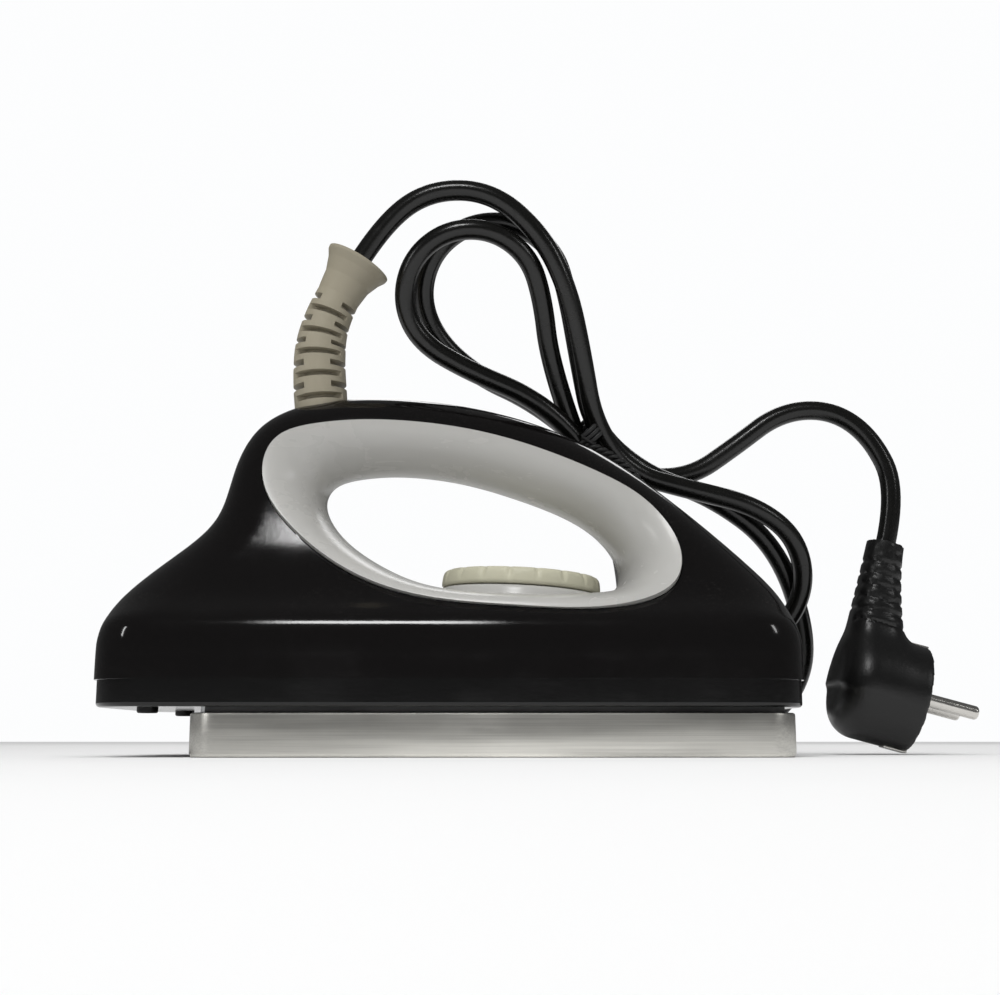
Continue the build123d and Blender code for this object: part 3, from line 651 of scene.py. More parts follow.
FINISHES = (
    Finish("shell_black", (0.0035, 0.003, 0.003), 0.08, grain=700, depth=0.010, smear=0.05,
           dust=0.05, rub=0.12, rub_colour=(0.03, 0.03, 0.03)),
    Finish("skirt_black", (0.003, 0.003, 0.003), 0.12, grain=800, depth=0.01, smear=0.04,
           dust=0.02),
    Finish("liner_white", (0.46, 0.455, 0.435), 0.26, grain=1100, depth=0.012, smear=0.02,
           mottle=0.01),
    Finish("dial_beige", (0.52, 0.505, 0.385), 0.38, grain=1500, depth=0.05, smear=0.08,
           mottle=0.03, rub=0.15, rub_colour=(0.75, 0.73, 0.68)),
    Finish("guard_beige", (0.31, 0.28, 0.21), 0.5, grain=1600, depth=0.06, smear=0.08, mottle=0.05,
           dust=0.1),
    Finish("cord_rubber", (0.0035, 0.0035, 0.003), 0.22, grain=1300, depth=0.04, smear=0.08,
           mottle=0.2, dust=0.03),
    Finish("tie_black", (0.012, 0.012, 0.012), 0.42, grain=1800, depth=0.05, smear=0.1),
    Finish("plug_black", (0.005, 0.005, 0.005), 0.3, grain=1300, depth=0.06, smear=0.08, dust=0.05,
           rub=0.2, rub_colour=(0.06, 0.06, 0.06)),
    Finish("pin_steel", (0.74, 0.72, 0.68), 0.16, metal=1.0, grain=600, depth=0.02, smear=0.12),
    # The plate's colour carries brushed lines and painted reflection patches.
    Finish("plate_metal", (0.86, 0.845, 0.79), 0.33, metal=1.0, depth=0.04, smear=0.05,
           mottle=0.02, brushed_and_painted_reflection=1.0),
    Finish("heater_tube", (0.38, 0.37, 0.36), 0.4, metal=1.0, grain=500, depth=0.05, smear=0.15,
           mottle=0.15),
    Finish("steel_zinc", (0.60, 0.61, 0.62), 0.3, metal=1.0, grain=420, depth=0.04, smear=0.16,
           mottle=0.06),
    Finish("screw_black", (0.03, 0.03, 0.03), 0.4, metal=1.0, grain=420, depth=0.04, smear=0.1),
    Finish("spring_brass", (0.72, 0.55, 0.26), 0.28, metal=1.0, grain=500, depth=0.03, smear=0.14,
           mottle=0.08),
    Finish("ceramic", (0.84, 0.82, 0.76), 0.6, grain=1500, depth=0.1, smear=0.05, mottle=0.04),
    # The shield's colour carries brushed lines and painted reflection patches.
    Finish("shield_sheet", (0.10, 0.10, 0.10), 0.55, metal=1.0, grain=300, depth=0.05, smear=0.1,
           brushed_and_painted_reflection=0.6),
    Finish("block_white", (0.78, 0.78, 0.74), 0.5, grain=1100, depth=0.05, smear=0.06,
           mottle=0.03),
    Finish("wire_brown", (0.16, 0.07, 0.035), 0.45, grain=2200, depth=0.12, smear=0.05,
           mottle=0.15),
    Finish("wire_blue", (0.03, 0.09, 0.35), 0.4, grain=1500, depth=0.05, smear=0.05, mottle=0.08),
    Finish("wire_green", (0.12, 0.30, 0.06), 0.4, grain=1500, depth=0.05, smear=0.05, mottle=0.2),
)


class Paint:
    """Builds each finish once and puts it on pieces and CAD nodes."""

    def __init__(self) -> None:
        """Make the shared groups and all finishes."""
        groups = {g.name: g for g in (moulded_grain(), brushed_lines(), settled_dust(), edge_rub())}
        self.materials = {f.name: f.build(groups) for f in FINISHES}

    def on(self, piece: bpy.types.Object, finish: str) -> None:
        """Give a piece one finish."""
        piece.data.materials.clear()
        piece.data.materials.append(self.materials[finish])

    def on_node(self, node: str, finish: str) -> None:
        """Put a finish in a CAD node's material slots."""
        for slot in frame["nodes"][node].material_slots:
            slot.material = self.materials[finish]

    def settle(self, piece: bpy.types.Object, finish: str, body: str = BODY,
               replaces: Sequence[str] = ()) -> None:
        """Paint a piece and let it ride on a body.

        Args:
            piece: The piece.
            finish: Its finish and its slot's name.
            body: The body that it rides on.
            replaces: CAD nodes that it stands for.
        """
        self.on(piece, finish)
        if replaces:
            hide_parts(*replaces)
        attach(piece, body)
        LOG.info("%s rides on %s", piece.name, body)


# ---- the moulded body -------------------------------------------------------------------


@dataclass
class MouldedBody:
    """The upper shell's skin, as the meeting of a side, a front and a plan profile."""

    length: float = 216.0
    width: float = 94.0
    corner: float = 20.0
    bottom: float = 22.8
    wall: float = 2.4
    round_over: float = 17.0
    corner_blend: float = 4.0
    allowance: float = 1.0
    side: tuple = ((-108, 24), (-107.4, 36), (-103.3, 48), (-88, 63.5), (-76.5, 76), (-72, 92),
                   (-64, 107.5), (-46, 116.4), (-20, 118.2), (12, 113.4), (44, 101.4), (76, 78.2),
                   (98, 56.5), (104, 47.5), (107.3, 36.5), (108, 24))
    front: tuple = ((47, 29), (46.7, 36), (44, 41.5), (38, 47), (31, 56.5), (25, 69.5), (20.4, 86),
                    (17.6, 102), (15.6, 114), (11.5, 122), (0, 126))
    step: float = 1.7
    search: tuple = (112, 51, 122)
    socket_x: float = -44.0
    socket_radius: float = 9.3
    socket_above: float = 100.0
    rim_gap: float = 0.3
    profiles: dict = field(default_factory=dict)

    def __post_init__(self) -> None:
        """Lay out the two smooth profiles, with straight lower ends."""
        foot = 60.0
        side = curve_points(self.side, 170)
        side = np.vstack([[side[0][0], -foot], side, [side[-1][0], -foot]])
        half = curve_points(self.front, 90)
        full = np.vstack([[-half[0][0], -foot], half * (-1, 1), half[::-1][1:],
                          [half[0][0], -foot]])
        self.profiles = {"side": Profile(side), "front": Profile(full)}

    def measure(self, points: np.ndarray) -> tuple[np.ndarray, np.ndarray]:
        """Distance from the skin and its gradient.

        Args:
            points: Points in millimetres.

        Returns:
            The distances and the gradients.
        """
        side, side_out = self.profiles["side"].measure(points[:, [0, 2]])
        front, front_out = self.profiles["front"].measure(points[:, [1, 2]])
        core = np.array([self.length, self.width]) / 2 + self.allowance - self.corner
        reach = np.abs(points[:, :2]) - core
        outside = np.maximum(reach, 0)
        length = np.linalg.norm(outside, axis=1)
        plan = length + np.minimum(reach.max(1), 0) - self.corner
        direction = np.where(length[:, None] > 1e-9, outside / np.maximum(length, 1e-9)[:, None],
                             (reach == reach.max(1)[:, None]).astype(float))
        plan_out = np.zeros_like(points)
        plan_out[:, :2] = direction * np.sign(points[:, :2])
        side_grad = np.stack([side_out[:, 0], np.zeros(len(points)), side_out[:, 1]], axis=1)
        front_grad = np.stack([np.zeros(len(points)), front_out[:, 0], front_out[:, 1]], axis=1)
        first, share = blend_max(side, front, self.round_over)
        grad = side_grad * share[:, None] + front_grad * (1 - share)[:, None]
        total, share = blend_max(first, plan, self.corner_blend)
        return total, grad * share[:, None] + plan_out * (1 - share)[:, None]

    def skin(self) -> tuple[np.ndarray, np.ndarray]:
        """The whole outer skin as points and quads."""
        x, y, z = self.search
        return surface_of(self.measure, (-x, -y, self.bottom - 9), (x, y, z), self.step)

    def flank_depth(self, x: np.ndarray, z: np.ndarray) -> np.ndarray:
        """How far out the skin is, on either side of the middle, at x and z.

        Args:
            x: Places along the body.
            z: Their heights.

        Returns:
            The distance from the middle plane at each.
        """
        low, high = np.zeros(len(x)), np.full(len(x), self.width / 2 + 2)
        for _ in range(HALVINGS):
            middle = (low + high) / 2
            inside = self.measure(np.stack([x, middle, z], axis=1))[0] < 0
            low, high = np.where(inside, middle, low), np.where(inside, high, middle)
        return (low + high) / 2

    def build(self, opening: "FingerOpening", paint: Paint) -> None:
        """Cut the openings, thicken the skin and dress the shell.

        Args:
            opening: The finger opening, for its rim.
            paint: The finishes.
        """
        verts, quads = self.skin()
        faces = [tuple(q) for q in quads]
        verts, faces = cut_away(verts, faces, verts[:, 2] - self.bottom)
        hole = opening.rim_profile(self.rim_gap).measure(verts[:, [0, 2]])[0]
        verts, faces = cut_away(verts, faces, hole)
        around = np.hypot(verts[:, 0] - self.socket_x, verts[:, 1]) - self.socket_radius
        socket = np.where(verts[:, 2] > self.socket_above, around, 1.0)
        verts, faces = cut_away(verts, faces, socket)
        normals = self.measure(verts)[1]
        normals /= np.linalg.norm(normals, axis=1)[:, None]
        both, closed = thicken(verts, faces, normals, self.wall)
        shell = mesh_piece("upper_shell_skin", both, closed)
        self.shade(shell, len(faces), normals)
        paint.settle(shell, "shell_black", replaces=["upper_shell"])

    @staticmethod
    def shade(shell: bpy.types.Object, outer: int, normals: np.ndarray) -> None:
        """Smooth both sides exactly, and keep the cut edges flat.

        Args:
            shell: The shell.
            outer: How many faces its outer side has.
            normals: Outward normal at each outer point.
        """
        mesh = shell.data
        if len(mesh.polygons) < 2 * outer:
            return
        count = len(normals)
        loop_normals = []
        for polygon in mesh.polygons:
            for loop in polygon.loop_indices:
                vertex = mesh.loops[loop].vertex_index
                if polygon.index < outer:
                    loop_normals.append(tuple(normals[vertex]))
                elif polygon.index < 2 * outer:
                    loop_normals.append(tuple(-normals[vertex - count]))
                else:
                    loop_normals.append(tuple(polygon.normal))
        mesh.normals_split_custom_set(loop_normals)


@dataclass
class FingerOpening:
    """The flared white lining of the finger opening, in a left and a right half."""

    body: MouldedBody
    wall: float = 1.8
    around: int = 220
    deep: int = 30
    seat_x: float = 22.3
    seat_z: float = 52.7
    seat_tilt: float = 3.0
    seat_radius: float = 27.4
    seat_fade: float = 2.2
    seat_reach: float = 12.0
    rim_sink: float = 0.12
    outline: tuple = (
        ((-43.8, 81.5), (-60.5, 87.5)), ((-40.5, 89), (-57, 100.6)), ((-30, 92.6), (-43, 105.8)),
        ((-15, 93.3), (-22, 106.9)), ((4, 90.8), (5, 103.9)), ((22, 85.6), (28, 97.4)),
        ((38, 79.2), (48, 88.9)), ((49.5, 71.3), (62, 79.6)), ((56, 61), (71, 64)),
        ((54.5, 52.5), (68, 51.5)), ((42, 49.4), (50, 44.3)), ((20, 49.2), (20, 44.4)),
        ((-5, 51.3), (-8, 47.3)), ((-24, 59.2), (-31, 55.5)), ((-38, 70), (-51, 71)))

    def __post_init__(self) -> None:
        """Lay out the waist and the rim, and find how deep the rim lies."""
        self.waist = curve_points([w for w, _ in self.outline], self.around, closed=True)
        self.rim = curve_points([r for _, r in self.outline], self.around, closed=True)
        self.depth = self.body.flank_depth(self.rim[:, 0], self.rim[:, 1])

    def rim_profile(self, grow: float) -> Profile:
        """The rim's outline in side view, grown outwards, with the hole as its solid."""
        ring = Profile(np.vstack([self.rim, self.rim[:1]]))
        return Profile(ring.line + ring.normal * grow)

    def half(self, side: int) -> tuple[np.ndarray, np.ndarray]:
        """Grid of points from waist to rim on one side, and its shape.

        Args:
            side: -1 for the near side, 1 for the far side.

        Returns:
            The grid, from waist to rim, then round.
        """
        angle = np.linspace(0, math.pi / 2, self.deep)[:, None]
        flare = 1 - np.cos(angle)
        xz = self.waist[None] + (self.rim - self.waist)[None] * flare[..., None]
        y = np.sin(angle) * (self.depth - self.rim_sink)[None]
        grid = np.stack([xz[..., 0], side * y, xz[..., 1]], axis=-1)
        return self.press_seat(grid)

    def press_seat(self, grid: np.ndarray) -> np.ndarray:
        """Lower the deck under the dial to a flat round seat.

        Args:
            grid: Points of the lining.

        Returns:
            The points with the seat pressed in.
        """
        tilt = math.radians(self.seat_tilt)
        axis = np.array([math.sin(tilt), 0, math.cos(tilt)])
        rel = grid - np.array([self.seat_x, 0, self.seat_z])
        height = rel @ axis
        radius = np.linalg.norm(rel - height[..., None] * axis, axis=-1)
        inside = np.clip((self.seat_radius + self.seat_fade - radius) / self.seat_fade, 0, 1)
        inside = inside * inside * (3 - 2 * inside)
        drop = np.where((height > 0) & (height < self.seat_reach), height, 0) * inside
        return grid - drop[..., None] * axis

    def build(self, paint: Paint) -> None:
        """Make both halves as closed walls, and the dial's collar.

        Args:
            paint: The finishes.
        """
        for side, node in ((-1, "liner_left"), (1, "liner_right")):
            grid = self.half(side)
            rows, columns = grid.shape[:2]
            down = np.gradient(grid, axis=0)
            across = (np.roll(grid, -1, axis=1) - np.roll(grid, 1, axis=1)) / 2
            normal = np.cross(across, down) * side
            normal /= np.maximum(np.linalg.norm(normal, axis=-1), 1e-9)[..., None]
            normal[0, :, 1] = 0
            normal[0] /= np.linalg.norm(normal[0], axis=-1)[:, None]
            verts = grid.reshape(-1, 3)
            faces = []
            for r in range(rows - 1):
                for c in range(columns):
                    d = (c + 1) % columns
                    near, far = r * columns, (r + 1) * columns
                    quad = (near + c, near + d, far + d, far + c)
                    faces.append(quad if side > 0 else quad[::-1])
            both, closed = thicken(verts, faces, normal.reshape(-1, 3), self.wall)
            piece = mesh_piece(f"{node}_skin", both, closed)
            sharpen(piece)
            paint.settle(piece, "liner_white", replaces=[node])
        self.collar(paint)

    def collar(self, paint: Paint) -> None:
        """The low round step of the deck that the dial turns on.

        Args:
            paint: The finishes.
        """
        profile = [(4.0, -9.0), (29.6, -9.0), (28.6, -5.6), (27.6, -3.6), (27.0, -2.2),
                   (26.7, -1.1), (26.3, -0.45), (25.4, -0.1), (4.0, -0.1)]
        verts, faces = lathe(profile, 96)
        piece = mesh_piece("dial_collar", verts, faces)
        sharpen(piece)
        place_on_dial(piece)
        paint.settle(piece, "liner_white")


def lathe(profile: Sequence[tuple[float, float]], around: int,
          wave: Optional[Callable[[float, float, float], float]] = None
          ) -> tuple[np.ndarray, list[tuple[int, ...]]]:
    """Turn a closed profile of radius and height about Z.

    Args:
        profile: Radius and height of each point, closed back to the first.
        around: Steps round the circle.
        wave: Radius as a function of radius, height and angle.

    Returns:
        Points and faces.
    """
    verts, faces = [], []
    count = len(profile)
    for k in range(around):
        angle = 2 * math.pi * k / around
        for radius, height in profile:
            r = wave(radius, height, angle) if wave else radius
            verts.append((r * math.cos(angle), r * math.sin(angle), height))
        nxt = (k + 1) % around
        for i in range(count):
            j = (i + 1) % count
            faces.append((k * count + i, nxt * count + i, nxt * count + j, k * count + j))
    return np.array(verts), faces


def place_on_dial(piece: bpy.types.Object) -> None:
    """Move a piece made about Z to the dial's tilted axis.

    Args:
        piece: The piece, in metres.
    """
    joint = next(j for j in frame["record"]["behaviour"]["joints"] if j["name"] == "dial_turn")
    turn = Vector((0, 0, 1)).rotation_difference(Vector(joint["axis"])).to_matrix().to_4x4()
    piece.data.transform(Matrix.Translation(Vector(joint["pos_m"])) @ turn)


@dataclass
class Dial:
    """The temperature dial, notched round its top edge."""

    radius: float = 26.0
    low: float = 0.35
    high: float = 5.7
    hub: float = 6.2
    notches: int = 18
    depth: float = 0.9
    steps_per_notch: int = 28

    def build(self, paint: Paint) -> None:
        """Turn the dial with scalloped notches that fade out down its flank.

        Args:
            paint: The finishes.
        """
        edge, top = self.radius, self.high
        profile = [(3.2, self.low), (edge - 0.5, self.low), (edge, self.low + 0.5), (edge, 1.6),
                   (edge - 0.05, 2.4), (edge - 0.15, 3.2), (edge - 0.3, 4.1), (edge - 0.55, 4.8),
                   (edge - 1.0, 5.35), (edge - 1.6, top - 0.05), (edge - 2.4, top),
                   (edge - 4.2, top), (edge - 5.0, top - 0.6), (9.4, top - 0.6), (8.4, self.hub),
                   (3.2, self.hub)]

        def scalloped(radius: float, height: float, angle: float) -> float:
            """Press a notch into the flank, deepest at the top.

            Args:
                radius: The plain radius.
                height: The height.
                angle: The place round the dial.

            Returns:
                The notched radius.
            """
            if radius > edge - 3 and height > 1.7:
                notch = max(math.cos(self.notches * angle), 0) ** 5
                return radius - self.depth * notch * (height - 1.6) / 4
            return radius

        verts, faces = lathe(profile, self.notches * self.steps_per_notch, scalloped)
        piece = mesh_piece("dial_knob", verts, faces)
        sharpen(piece, 50)
        place_on_dial(piece)
        paint.settle(piece, "dial_beige", body="dial_body", replaces=["dial"])


@dataclass
class SolePlate:
    """The linished metal plate, with rounded corners and broken edges."""

    chamfer: float = 1.0
    corner: float = 9.0
    steps: int = 14

    def ring(self, inset: float, height: float) -> list[Point]:
        """One rounded rectangle round the plate, in millimetres.

        Args:
            inset: How far inside the outline.
            height: The height of the ring.

        Returns:
            The ring's points.
        """
        low, high = (np.array(c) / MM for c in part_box("sole_plate"))
        middle, half = (low + high) / 2, (high - low) / 2
        radius = self.corner - inset
        points = []
        for quarter in range(4):
            sx, sy = ((1, 1), (-1, 1), (-1, -1), (1, -1))[quarter]
            cx = middle[0] + sx * (half[0] - self.corner)
            cy = middle[1] + sy * (half[1] - self.corner)
            for k in range(self.steps + 1):
                angle = math.pi / 2 * (quarter + k / self.steps)
                points.append((cx + radius * math.cos(angle), cy + radius * math.sin(angle),
                               height))
        return points

    def build(self, paint: Paint) -> None:
        """Stack the rings and close both faces.

        Args:
            paint: The finishes.
        """
        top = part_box("sole_plate")[1][2] / MM
        levels = [(self.chamfer, 0.0), (self.chamfer * 0.45, 0.25), (0.1, 0.85), (0.0, 1.3),
                  (0.0, top - 0.7), (0.15, top - 0.25), (0.6, top)]
        rings = [self.ring(inset, height) for inset, height in levels]
        count = len(rings[0])
        verts = np.array([p for ring in rings for p in ring])
        faces = [tuple(reversed(range(count))), tuple(range(len(verts) - count, len(verts)))]
        for r in range(len(rings) - 1):
            for k in range(count):
                n = (k + 1) % count
                lower, upper = r * count, (r + 1) * count
                faces.append((lower + k, lower + n, upper + n, upper + k))
        piece = mesh_piece("sole_plate_linished", verts, faces)
        sharpen(piece, 30)
        paint.settle(piece, "plate_metal", replaces=["sole_plate"])


# ---- cord, guard and plug ---------------------------------------------------------------


@dataclass
class CordGuard:
    """The bent, slotted sleeve where the cord leaves the handle."""

    route: tuple = ((-44, 0, 109), (-45.3, 0, 124), (-45, 0, 138), (-41, 0, 151), (-33, 0, 166))
    radii: tuple = ((0.0, 9.2), (0.05, 8.8), (0.2, 8.9), (0.42, 8.6), (0.6, 7.9), (0.78, 7.4),
                    (0.88, 8.2), (0.95, 9.9), (0.985, 11.3), (1.0, 11.4))
    slot_depth: float = 3.4
    slot_half: float = 0.9
    slot_facing: float = 0.5
    slot_fade: float = 0.12
    row_shift: float = 0.065
    rows: tuple = (0.14, 0.27, 0.4, 0.53, 0.66)
    along: int = 230
    around: int = 96

    def slot(self, share: float, angle: float, length: float) -> float:
        """Depth of the slots at a place on the sleeve.

        Args:
            share: Place along the sleeve, 0 to 1.
            angle: Place round it.
            length: The sleeve's length.

        Returns:
            The depth in millimetres.
        """
        depth = 0.0
        for row in self.rows:
            for shift, centre in ((0.0, 0.0), (self.row_shift, math.pi / 2)):
                gap = abs(share - row - shift) * length
                facing = abs(math.cos(angle - centre)) - self.slot_facing
                if gap < self.slot_half and facing > 0:
                    depth = max(depth, self.slot_depth * min(facing / self.slot_fade, 1.0))
        return depth

    def build(self, paint: Paint) -> None:
        """Loft the sleeve along its bend.

        Args:
            paint: The finishes.
        """
        path = curve_points(self.route, self.along)
        tangent = np.gradient(path, axis=0)
        tangent /= np.linalg.norm(tangent, axis=1)[:, None]
        length = float(np.linalg.norm(np.diff(path, axis=0), axis=1).sum())
        shares, sizes = zip(*self.radii)
        verts, faces = [], []
        for i, (centre, run) in enumerate(zip(path, tangent)):
            share = i / (self.along - 1)
            radius = float(np.interp(share, shares, sizes))
            side = np.cross(run, (0, 1, 0))
            for k in range(self.around):
                angle = 2 * math.pi * k / self.around
                r = radius - self.slot(share, angle, length)
                verts.append(centre + np.array((0, -1, 0)) * r * math.cos(angle)
                             + side * r * math.sin(angle))
        for i in range(self.along - 1):
            for k in range(self.around):
                n = (k + 1) % self.around
                a, b = i * self.around, (i + 1) * self.around
                faces.append((a + k, b + k, b + n, a + n))
        faces.append(tuple(range(self.around)))
        last = (self.along - 1) * self.around
        faces.append(tuple(last + k for k in reversed(range(self.around))))
        piece = mesh_piece("cord_guard_sleeve", np.array(verts), faces)
        work = bmesh.new()
        work.from_mesh(piece.data)
        bmesh.ops.recalc_face_normals(work, faces=work.faces)
        work.to_mesh(piece.data)
        work.free()
        sharpen(piece, 42)
        paint.settle(piece, "guard_beige", replaces=["cord_guard"])


@dataclass
class FreeCord:
    """The mains cord: over from the guard, folded into a tied hank, and on to the plug."""

    diameter: float = 7.0
    lean: float = 23.0
    plane: float = 63.0
    layer: float = 7.4
    arch: tuple = ((-33, 0, 166), (-24, -0.5, 181), (-8, -2, 192), (13, -2.5, 191), (30, -0.5, 176),
                   (39, 3.5, 158))
    hank: tuple = (
        (44, 137, 0), (48.5, 114.5, 0), (62, 98, 0), (82, 93, 0), (107, 87.4, 0), (122.5, 76.3, 0),
        (126.8, 58.7, 0), (118, 42.6, 0), (100, 35.4, 0), (81.2, 40.3, 0), (70, 55.1, 0),
        (57, 88, 0), (43.5, 109.5, 0), (27, 123, 0), (5, 131.5, 0.1), (-12.2, 140.9, 0.2),
        (-18.4, 154, 0.31), (-14.8, 168, 0.42), (-2.8, 177.1, 0.52), (12.8, 177.7, 0.63),
        (25.6, 169.6, 0.74), (30.5, 156, 0.85), (33, 138, 1), (43.5, 109.5, 1), (55, 88, 1),
        (63, 64, 1), (63.3, 32.2, 1), (72.9, 14.5, 1), (92, 5.6, 1), (113.2, 9.1, 1),
        (127.9, 23.5, 1), (130.3, 43.1, 1), (117, 75, 1), (92, 92, 1), (68, 99, 1),
        (48.8, 114.5, 1), (44, 136, 1.15), (39.5, 160.5, 1.85), (34.4, 174.7, 1.88),
        (21.2, 183.3, 1.9), (5, 183.1, 1.93), (-7.9, 174.1, 1.95), (-12.5, 159.8, 1.98),
        (-7, 145.8, 2), (8, 133.5, 2), (27, 125.5, 2), (46, 112, 2), (66, 99.5, 2))
    tail: tuple = ((86, 44.5, 100), (103, 46, 112), (120, 46, 125), (138.5, 44.5, 126),
                   (152.5, 42.5, 115.5), (160.8, 40.5, 95))

    def on_plane(self, x: float, z: float, layer: float) -> Point:
        """A point of the hank, from its place in side view and its layer.

        Args:
            x: Place along the iron.
            z: The height.
            layer: The layer, counted outwards from 0.

        Returns:
            The point in millimetres.
        """
        lean = math.radians(self.lean)
        y = (self.plane + self.layer * layer - math.sin(lean) * z) / math.cos(lean)
        return x, y, z

    def points(self) -> list[Point]:
        """The whole route, guard to plug."""
        top = AngledPlug().arm_top()
        return [*self.arch, *(self.on_plane(*p) for p in self.hank), *self.tail, tuple(top)]

    def build(self, paint: Paint) -> bpy.types.Object:
        """Lay the cord as one smooth spline.

        Args:
            paint: The finishes.

        Returns:
            The cord.
        """
        points = self.points()
        curve = bpy.data.curves.new("mains_cord", "CURVE")
        curve.dimensions = "3D"
        curve.bevel_depth = self.diameter / 2 * MM
        curve.bevel_resolution = 6
        curve.use_fill_caps = True
        spline = curve.splines.new("NURBS")
        spline.points.add(len(points) - 1)
        for place, point in zip(spline.points, points):
            place.co = (*(c * MM for c in point), 1)
        spline.order_u = 3
        spline.use_endpoint_u = True
        spline.resolution_u = 10
        cord = bpy.data.objects.new("mains_cord", curve)
        bpy.context.scene.collection.objects.link(cord)
        paint.settle(cord, "cord_rubber", replaces=["cord_arch", "cord_hank", "cord_tail"])
        return cord


@dataclass
class TwistTie:
    """The coated wire round the hank, with its twisted end hanging down."""

    wire: float = 1.7
    half_width: float = 8.6
    half_depth: float = 11.8
    at: tuple = (46.0, 112.0)
    fall: float = 48.0
    turns: int = 3
    tail: float = 22.0
    tail_way: tuple = (0.74, -0.05, -0.6)
    tail_start: float = 2.0
    tail_lift: float = 1.6
    steps_per_turn: int = 24
    squareness: float = 3.2
    twist_points: int = 40
    twist_turns: float = 4.5
    strand_radius: float = 0.85

    def build(self, cord: FreeCord, paint: Paint) -> bpy.types.Object:
        """Wrap the wire round the bundle and twist its ends together.

        Args:
            cord: The cord that it ties.
            paint: The finishes.

        Returns:
            The tie.
        """
        lean, turn = math.radians(cord.lean), math.radians(self.fall)
        centre = np.array(cord.on_plane(*self.at, 1))
        slope = np.array((0, -math.sin(lean), math.cos(lean)))
        out = np.array((0, math.cos(lean), math.sin(lean)))
        along = np.array((math.cos(turn), 0, 0)) - slope * math.sin(turn)
        across = np.array((math.sin(turn), 0, 0)) + slope * math.cos(turn)
        wrap = []
        steps = self.turns * self.steps_per_turn
        for k in range(steps + 1):
            angle = 2 * math.pi * self.turns * k / steps - math.pi / 2
            c, s = math.cos(angle), math.sin(angle)
            size = (abs(c) ** self.squareness + abs(s) ** self.squareness) ** (-1 / self.squareness)
            wrap.append(centre + across * self.half_width * c * size
                        + out * self.half_depth * s * size
                        + along * (k / steps - 0.5) * self.turns * self.wire)
        knot = (np.array(wrap[0]) + np.array(wrap[-1])) / 2
        fall = np.array(self.tail_way) / np.linalg.norm(self.tail_way)
        aside = np.cross(fall, (0, 1, 0))
        strands = [wrap]
        for phase in (0, math.pi):
            strand = [wrap[0] if phase == 0 else wrap[-1]]
            for k in range(self.twist_points):
                share = k / (self.twist_points - 1)
                angle = phase + share * 2 * math.pi * self.twist_turns
                lift = math.sin(share * math.pi) * self.tail_lift
                spin = aside * math.cos(angle) + np.array((0, 1, 0)) * math.sin(angle)
                strand.append(knot + fall * (self.tail_start + share * self.tail) + aside * lift
                              + spin * self.strand_radius)
            strands.append(strand)
        curve = bpy.data.curves.new("twist_tie", "CURVE")
        curve.dimensions = "3D"
        curve.bevel_depth = self.wire / 2 * MM
        curve.bevel_resolution = 3
        curve.use_fill_caps = True
        for strand in strands:
            spline = curve.splines.new("POLY")
            spline.points.add(len(strand) - 1)
            for place, point in zip(spline.points, strand):
                place.co = (*(c * MM for c in point), 1)
        tie = bpy.data.objects.new("twist_tie", curve)
        bpy.context.scene.collection.objects.link(tie)
        paint.settle(tie, "tie_black", replaces=["cord_tie"])
        return tie


